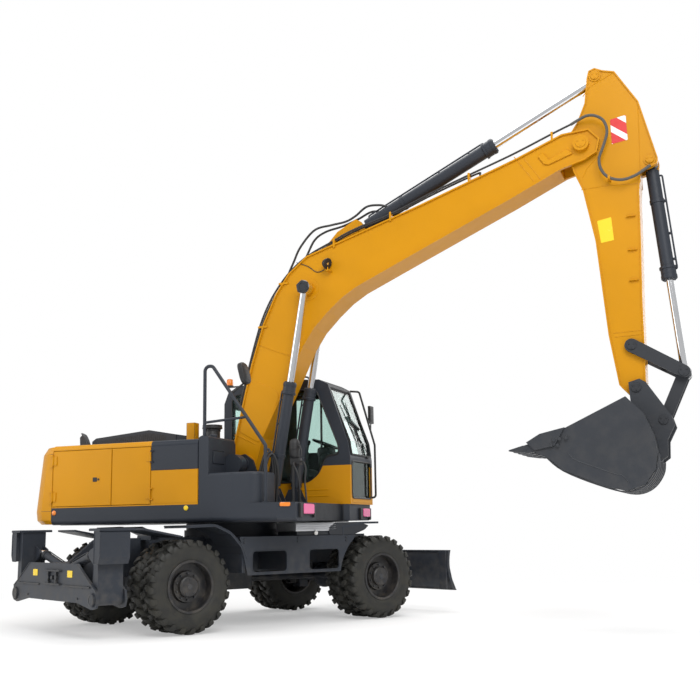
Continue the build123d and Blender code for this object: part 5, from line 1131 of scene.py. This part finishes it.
class EXCAVATOR_OT_boom_pipes(bpy.types.Operator):
    """Add the pipes along the boom's back and top, their clamps, and the hoses to the arm's cylinder"""
    bl_idname = "excavator.boom_pipes"
    bl_label = "Boom Pipes"

    def execute(self, context):
        pipes = []
        for y, drop in ((-190, 0), (-140, 6), (140, 6), (190, 0)):
            line = [(x, y, z - drop) for x, z in PIPE_LINE]
            if abs(y) < ARM_HALF:
                line = line[:-4] + [(3440, y, 5408), (3490, y, 5392), (3506, y, 5330)]
            pipes.append(tube(smooth_curve(line, 90), 13, 8))
        loops = (([(790, 4255), (840, 4420), (922, 4591), (1025, 4790), (1229, 4995), (1470, 5033), (1667, 5054),
                   (1806, 5112), (1963, 5216), (2136, 5215), (2240, 5180)], -50),
                 ([(830, 4300), (940, 4490), (1065, 4670), (1188, 4885), (1349, 4980), (1588, 5026), (1805, 5093),
                   (2000, 5170), (2160, 5140)], 40))
        for points, y in loops:
            pipes.append(tube(smooth_curve([(x, y, z) for x, z in points], 60), 15, 8))
        clamps, inner, outer = [], 118, 214
        for x, z, near in ((4400, 5757, 174), (3362, 5393, inner), (2332, 5030, inner), (1560, 4776, inner)):
            for low, high in ((-outer, -near), (near, outer)):
                clamps.append(soft_box((x - 13, low, z - 100), (x + 13, high, z + 24), 12, "x", 3))
        for x, z in ((800, 4280), (500, 3730)):
            for low, high in ((-outer, -inner), (inner, outer)):
                clamps.append(soft_box((x - 22, low, z - 13), (x + 110, high, z + 13), 8, "z", 3))
        add_piece("pipe_clamps", clamps, "boom", "yellow")
        add_piece("boom_pipes", pipes, "boom", "hose", instead=("boom_hoses",))
        return {"FINISHED"}


class EXCAVATOR_OT_cylinders(bpy.types.Operator):
    """Add the glands, bands, ports and pipes of the big cylinders, and the boom rods' caps"""
    bl_idname = "excavator.cylinders"
    bl_label = "Cylinders"

    def execute(self, context):
        for name, base, eye, y, length, radius, body in BARRELS:
            ends = (np.array((x, y, z), float) for x, z in (base, eye))
            self.barrel(name, *ends, length, radius, body)
        caps = []
        for side in (-1, 1):
            x, z = ROD_EYE
            caps.append(lathe([(92, 0), (92, 18), (84, 26), (52, 30), (48, 24), (0.5, 24)], (x, side * 369, z),
                              (0, side, 0), 6))
            caps += hexagons([(x + 60 * math.cos(t), side * 396, z + 60 * math.sin(t)) for t in whole_turn(3)],
                             (0, side, 0), 10, 8)
        add_piece("boom_rod_caps", caps, "boom_rods", "deep")
        return {"FINISHED"}

    def barrel(self, name, base, eye, length, radius, body):
        """One barrel's gland, bands, port blocks and pressure pipe, on the line from its base to its eye."""
        along = (eye - base) / np.linalg.norm(eye - base)
        out = np.cross(along, (0, 1, 0))
        gland = radius * 1.14
        parts = [lathe(profile, base + along * reach, along, 36) for profile, reach in (
            ([(gland - 1, 0), (gland + 9, 4), (gland + 9, 30), (gland - 1, 34)], length - 150),
            ([(gland - 1, 0), (gland + 5, 3), (gland + 5, 40), (gland - 6, 52), (radius * 0.72, 54)], length - 46),
            ([(radius - 1, 0), (radius + 8, 2), (radius + 8, 44), (radius - 1, 46)], length * 0.32))]
        ends = [base + along * (length + 6) + (math.cos(t) * out + math.sin(t) * np.array((0, 1.0, 0))) * radius * 0.9
                for t in whole_turn(10)]
        parts += hexagons(ends, along, 10, 8)
        line = [base + along * reach + out * (radius + rise)
                for reach, rise in ((radius * 2.2, -4), (radius * 2.2, 26), (length - 110, 26), (length - 110, -2))]
        parts.append(tube(bent(line, 26), 11, 10))
        for reach in (0.34, 0.62, 0.84):
            spot = base + along * length * reach + out * (radius + 14)
            parts.append(disc(spot - along * 12, along, 22, 24, 3, 10))
        add_piece(name, parts, body, "slate")


class EXCAVATOR_OT_arm(bpy.types.Operator):
    """Add the arm's weld lines, brackets, pin covers, the hose over its pin, striped signs and blank labels"""
    bl_idname = "excavator.arm_fittings"
    bl_label = "Arm Fittings"

    def execute(self, context):
        web = ARM_HALF - 12
        beads = []
        for line in ([(4703, 5026), (5044, 5036), (5360, 5008)], [(4961, 3276), (5280, 3282)],
                     [(4969, 3229), (5278, 3236)], [(5160, 6420), (4874, 6293), (4785, 6184)],
                     [(5410, 6019), (5398, 5586), (5375, 5020)],
                     [(4727, 5169), (4783, 5283), (4903, 5386), (4954, 5413)]):
            beads += [weld(side, 5) for side in side_line(line, web)]
        add_piece("arm_welds", beads, "arm", "yellow")
        parts = []
        for side in (-1, 1):
            for x, z in ((5247, 4628), (5240, 4228), (5232, 3868)):
                low, high = span(side, web - 1, web + 30)
                parts.append(soft_box((x - 52, low, z - 5), (x + 52, high, z + 5), 4, "z", 2))
                parts += hexagons([(x + dx, side * (web + 16), z + 4) for dx in (-30, 30)], UP, 9, 10)
            parts += pin_cover(*ARM_EYE, side * (ARM_HALF + 1), side, 52)
            parts += pin_cover(*BUCKET_BASE, side * (ARM_HALF + 8), side, 48)
        add_piece("arm_brackets", parts, "arm", "yellow")
        covers = pin_cover(*IDLER_PIN, ARM_HALF + 42, 1, 52) + pin_cover(*IDLER_PIN, -ARM_HALF - 42, -1, 52)
        add_piece("rocker_pin_covers", covers, "arm", "deep")
        loop = [(4630, -190, 5838), (4725, -214, 5871), (4825, -236, 5897), (4923, -242, 5880), (5016, -242, 5804),
                (5049, -242, 5659), (4997, -242, 5493), (4940, -242, 5346), (4957, -242, 5205), (5038, -242, 5100),
                (5178, -240, 5052), (5322, -228, 5082), (5440, -200, 5155), (5500, -176, 5198)]
        bend = ("boom", "arm", (4725, 0, 5871), (5060, 0, 5300))
        add_piece("arm_hose", [tube(smooth_curve(loop, 120), 17)], bend, "sleeve")
        hold = [soft_box((5024, -262, 5078), (5052, -web + 1, 5122), 10, "x", 3)]
        add_piece("arm_hose_clamp", hold, "arm", "yellow")
        for side, name in ((-1, "right"), (1, "left")):
            low, high = span(side, web, web + 3)
            sign = plate(rounded([(5084, 5840), (5264, 5868), (5270, 5560), (5086, 5534)], 8), low, high, 1)
            add_piece("striped_sign_" + name, [sign], "arm", "striped")
            label = plate(rounded([(4861, 4620), (5023, 4648), (5040, 4368), (4891, 4350)], 8), low, high, 1)
            add_piece("blank_label_" + name, [label], "arm", "reflector")
        return {"FINISHED"}


def striped():
    """A red sign with slanting white bands, laid out by the distance across a slanted line."""
    material = look("red").copy()
    material.name = "Striped Sign"
    tree = material.node_tree
    worn = next(item for item in tree.nodes if item.type == "GROUP")
    place = node(tree, "ShaderNodeTexCoord", (-1400, 0))
    turn = node(tree, "ShaderNodeMapping", (-1200, 0))
    turn.inputs["Rotation"].default_value = (0, math.radians(-38), 0)
    turn.inputs["Location"].default_value = (0.0, 0.0, 0.048)
    apart = node(tree, "ShaderNodeSeparateXYZ", (-1000, 0))
    tree.links.new(place.outputs["Object"], turn.inputs["Vector"])
    tree.links.new(turn.outputs["Vector"], apart.inputs[0])
    bands = arithmetic(tree, "FRACT", arithmetic(tree, "DIVIDE", apart.outputs["Z"], 0.176, (-850, 0)), 0.0, (-700, 0))
    mask = arithmetic(tree, "GREATER_THAN", bands, 0.62, (-550, 0))
    plain = tuple(worn.inputs["Colour"].default_value)
    tree.links.new(mix_colour(tree, mask, plain, (0.78, 0.78, 0.76, 1), (-420, 200)), worn.inputs["Colour"])
    return material


class EXCAVATOR_OT_bucket(bpy.types.Operator):
    """Add the bucket's teeth, side cutter bolts, wear strips and pin covers"""
    bl_idname = "excavator.bucket_wear"
    bl_label = "Bucket Wear Parts"

    def execute(self, context):
        x0, z0 = BUCKET_PIN
        teeth = []
        for k in range(5):
            middle = (k - 2) * (BUCKET_HALF - 50) / 2
            sizes = ((-1398, 3, 36, -669), (-1345, 13, 34, -667), (-1290, 24, 38, -664), (-1240, 38, 44, -660),
                     (-1196, 47, 48, -658), (-1180, 50, 50, -657), (-1120, 42, 46, -652), (-1105, 34, 42, -648))
            rows = []
            for x, thick, wide, level in sizes:
                section = box_outline((middle - wide, z0 + level - thick), (middle + wide, z0 + level + thick))
                rows.append(on_plane(rounded(section, 9, 4), x0 + x, "x"))
            teeth.append(shell(rows))
            teeth.append(disc((x0 - 1205, middle - 52, z0 - 659), (0, 1, 0), 13, 104, 3, 12))
        add_piece("tooth_points", teeth, "bucket", "bucket")
        cutters = []
        for side in (-1, 1):
            face = side * (BUCKET_HALF + 24)
            spots = [(x, face, z) for x, z in ((4294, 2051), (4362, 2062), (4436, 2070), (4265, 1996), (4336, 1993))]
            cutters += hexagons(spots, (0, side, 0), 21, 15)
            line = [(4438, 1905), (4501, 1830), (4927, 1660), (5012, 1645), (5071, 1560)]
            cutters.append(weld([(x, side * (BUCKET_HALF + 1), z) for x, z in line], 5))
        add_piece("side_cutter_bolts", cutters, "bucket", "bucket")
        strips = []
        path = [(-1040, -700), (-810, -909), (-390, -1094), (-130, -1159), (62, -1094), (184, -932), (209, -760)]
        for y in (-480, -290, -97, 97, 290, 480):
            rows = []
            for x, z in smooth_curve(np.array(path, float), 30):
                lift = np.array((x + 300, z + 520))
                lift /= np.linalg.norm(lift)
                spot = np.array((x0 + x, z0 + z))
                inner, outer = spot - lift * 4, spot + lift * 12
                rows.append([(inner[0], y - 34, inner[1]), (outer[0], y - 28, outer[1]), (outer[0], y + 28, outer[1]),
                             (inner[0], y + 34, inner[1])])
            strips.append(shell(rows))
        add_piece("wear_strips", strips, "bucket", "bucket")
        covers = []
        for side in (-1, 1):
            covers += pin_cover(*BUCKET_PIN, side * (ARM_HALF + 62), side, 56)
            covers += pin_cover(*LINK_PIN, side * (ARM_HALF + 62), side, 52)
        add_piece("bucket_pin_covers", covers, "bucket", "deep")
        covers = pin_cover(*JOINT_PIN, -ARM_HALF - 42, -1, 58) + pin_cover(*JOINT_PIN, ARM_HALF + 42, 1, 58)
        add_piece("joint_pin_covers", covers, "idler", "deep")
        return {"FINISHED"}


# Stage.

class EXCAVATOR_OT_stage(bpy.types.Operator):
    """Add the pale floor, the soft lights and the camera at the photograph's angle"""
    bl_idname = "excavator.stage"
    bl_label = "Stage"

    def execute(self, context):
        scene = context.scene
        floor_mesh = bpy.data.meshes.new("studio_floor")
        angle = whole_turn(96)
        reach = np.array((0.0, 4.0, 9.0, 20.0, 60.0, 160.0))
        ring = reach[:, None, None] * np.stack((np.cos(angle), np.sin(angle), np.zeros(96)), 1)[None]
        index = np.arange(ring.shape[0] * 96).reshape(-1, 96)
        index = np.concatenate((index, index[:, :1]), 1)
        quads = np.stack((index[:-1, :-1], index[1:, :-1], index[1:, 1:], index[:-1, 1:]), -1).reshape(-1, 4)
        floor_mesh.from_pydata(ring.reshape(-1, 3).tolist(), [], quads.tolist())
        clean(floor_mesh, 30)
        floor = bpy.data.objects.new("studio_floor", floor_mesh)
        floor_mesh.transform(Matrix.Translation((0, 0, -0.002)))
        scene.collection.objects.link(floor)
        floor.data.materials.append(floor_look())
        scene.world = studio_world()
        for name, spot, size, power, aim in (
                ("key_light", (7.0, -11.0, 12.0), 9.0, 1500, (0, 0, 2)),
                ("fill_light", (-12.0, -8.0, 7.0), 10.0, 620, (0, 0, 2)),
                ("top_light", (0.0, 3.0, 15.0), 12.0, 1100, UP),
                ("back_light", (5.0, 13.0, 8.0), 8.0, 420, (0, 0, 2))):
            light = bpy.data.lights.new(name, "AREA")
            light.energy, light.size = power, size
            lamp = bpy.data.objects.new(name, light)
            lamp.location = spot
            lamp.rotation_euler = (Vector(aim) - Vector(spot)).to_track_quat("-Z", "Y").to_euler()
            scene.collection.objects.link(lamp)
        camera = bpy.data.cameras.new("photo_camera")
        camera.lens, camera.sensor_width, camera.clip_end = 51.73, 36, 400
        eye = bpy.data.objects.new("photo_camera", camera)
        yaw, pitch, roll = math.radians(111.09), math.radians(10.116), math.radians(-0.991)
        ahead = Vector((math.cos(pitch) * math.cos(yaw), math.cos(pitch) * math.sin(yaw), math.sin(pitch)))
        right = Vector((math.sin(yaw), -math.cos(yaw), 0))
        above = right.cross(ahead)
        across = right * math.cos(roll) + above * math.sin(roll)
        risen = above * math.cos(roll) - right * math.sin(roll)
        turn = Matrix((across, risen, -ahead)).transposed().to_4x4()
        eye.matrix_world = Matrix.Translation(upper((6217, -11768, 1118)).tolist()) @ turn
        scene.collection.objects.link(eye)
        scene.camera = eye
        scene.view_settings.view_transform = "Standard"
        return {"FINISHED"}


def seen(tree):
    """One where a ray comes from the camera or through glass, nought elsewhere."""
    path = node(tree, "ShaderNodeLightPath", (-800, 300))
    return arithmetic(tree, "MAXIMUM", path.outputs["Is Camera Ray"], path.outputs["Is Transmission Ray"], (-600, 300))


def studio_world():
    """White as seen, and an even pale light on the object."""
    world = bpy.data.worlds.new("studio_world")
    world.use_nodes = True
    tree = world.node_tree
    ground = tree.nodes["Background"]
    ground.inputs["Color"].default_value = (1, 1, 1, 1)
    tree.links.new(scaled(tree, seen(tree), 0, 1, 0.62, 1.0, (-200, 0)), ground.inputs["Strength"])
    return world


def floor_look():
    """A pale floor that takes shadows near the machine and turns to the backdrop's white further out."""
    material = bpy.data.materials.new("Studio Floor")
    material.use_nodes = True
    tree = material.node_tree
    surface = tree.nodes["Principled BSDF"]
    for key, value in (("Base Color", (0.86, 0.86, 0.86, 1)), ("Roughness", 0.9), ("Specular IOR Level", 0.0)):
        surface.inputs[key].default_value = value
    white = node(tree, "ShaderNodeEmission", (0, -400))
    white.inputs["Color"].default_value = (1, 1, 1, 1)
    place = node(tree, "ShaderNodeTexCoord", (-900, -300))
    far = node(tree, "ShaderNodeVectorMath", (-700, -300), operation="LENGTH")
    tree.links.new(place.outputs["Object"], far.inputs[0])
    fade = scaled(tree, far.outputs["Value"], 3.5, 9.0, 0.35, 1.0, (-500, -300))
    mask = arithmetic(tree, "MULTIPLY", fade, seen(tree), (-200, -100))
    blend = node(tree, "ShaderNodeMixShader", (200, 0))
    for socket, value in zip(blend.inputs, (mask, surface.outputs[0], white.outputs[0])):
        tree.links.new(value, socket)
    tree.links.new(blend.outputs[0], tree.nodes["Material Output"].inputs["Surface"])
    return material


# Settings, panel and registration.

class ExcavatorPaint(bpy.types.PropertyGroup):
    body_colour: FloatVectorProperty(name="Body Colour", description="Colour of the boom, doors and counterweight",
                                     subtype="COLOR", size=3, min=0, max=1, default=(0.57, 0.25, 0.003))
    frame_colour: FloatVectorProperty(name="Frame Colour", description="Colour of the undercarriage, skirt and tank",
                                      subtype="COLOR", size=3, min=0, max=1, default=(0.027, 0.032, 0.042))


class ExcavatorSizes(bpy.types.PropertyGroup):
    lugs: IntProperty(name="Lugs", description="Lugs on each side of a tyre", min=12, max=36, default=24)


OPERATORS = (EXCAVATOR_OT_stage, EXCAVATOR_OT_paint, EXCAVATOR_OT_tyres, EXCAVATOR_OT_wheel_faces,
             EXCAVATOR_OT_undercarriage, EXCAVATOR_OT_stabilisers, EXCAVATOR_OT_blade, EXCAVATOR_OT_housing,
             EXCAVATOR_OT_counterweight, EXCAVATOR_OT_roof_fittings, EXCAVATOR_OT_lamps, EXCAVATOR_OT_cab,
             EXCAVATOR_OT_seat, EXCAVATOR_OT_boom, EXCAVATOR_OT_boom_pipes, EXCAVATOR_OT_cylinders,
             EXCAVATOR_OT_arm, EXCAVATOR_OT_bucket)


class EXCAVATOR_PT_panel(bpy.types.Panel):
    """Buttons for the stage and for each group of pieces"""
    bl_idname = "EXCAVATOR_PT_panel"
    bl_label = "Excavator"
    bl_space_type = "VIEW_3D"
    bl_region_type = "UI"
    bl_category = "Excavator"

    def draw(self, context):
        for settings in (context.scene.excavator_paint, context.scene.excavator_sizes):
            for key in settings.__annotations__:
                self.layout.prop(settings, key)
        for operator in OPERATORS:
            self.layout.operator(operator.bl_idname)


CLASSES = (ExcavatorPaint, ExcavatorSizes, *OPERATORS, EXCAVATOR_PT_panel)


def register():
    for item in CLASSES:
        bpy.utils.register_class(item)
    bpy.types.Scene.excavator_paint = PointerProperty(type=ExcavatorPaint)
    bpy.types.Scene.excavator_sizes = PointerProperty(type=ExcavatorSizes)


def unregister():
    del bpy.types.Scene.excavator_sizes
    del bpy.types.Scene.excavator_paint
    for item in reversed(CLASSES):
        bpy.utils.unregister_class(item)


def main():
    """Adds every piece in order."""
    register()
    for operator in OPERATORS:
        getattr(bpy.ops.excavator, operator.bl_idname.split(".")[1])()


if __name__ == "__main__":
    main()
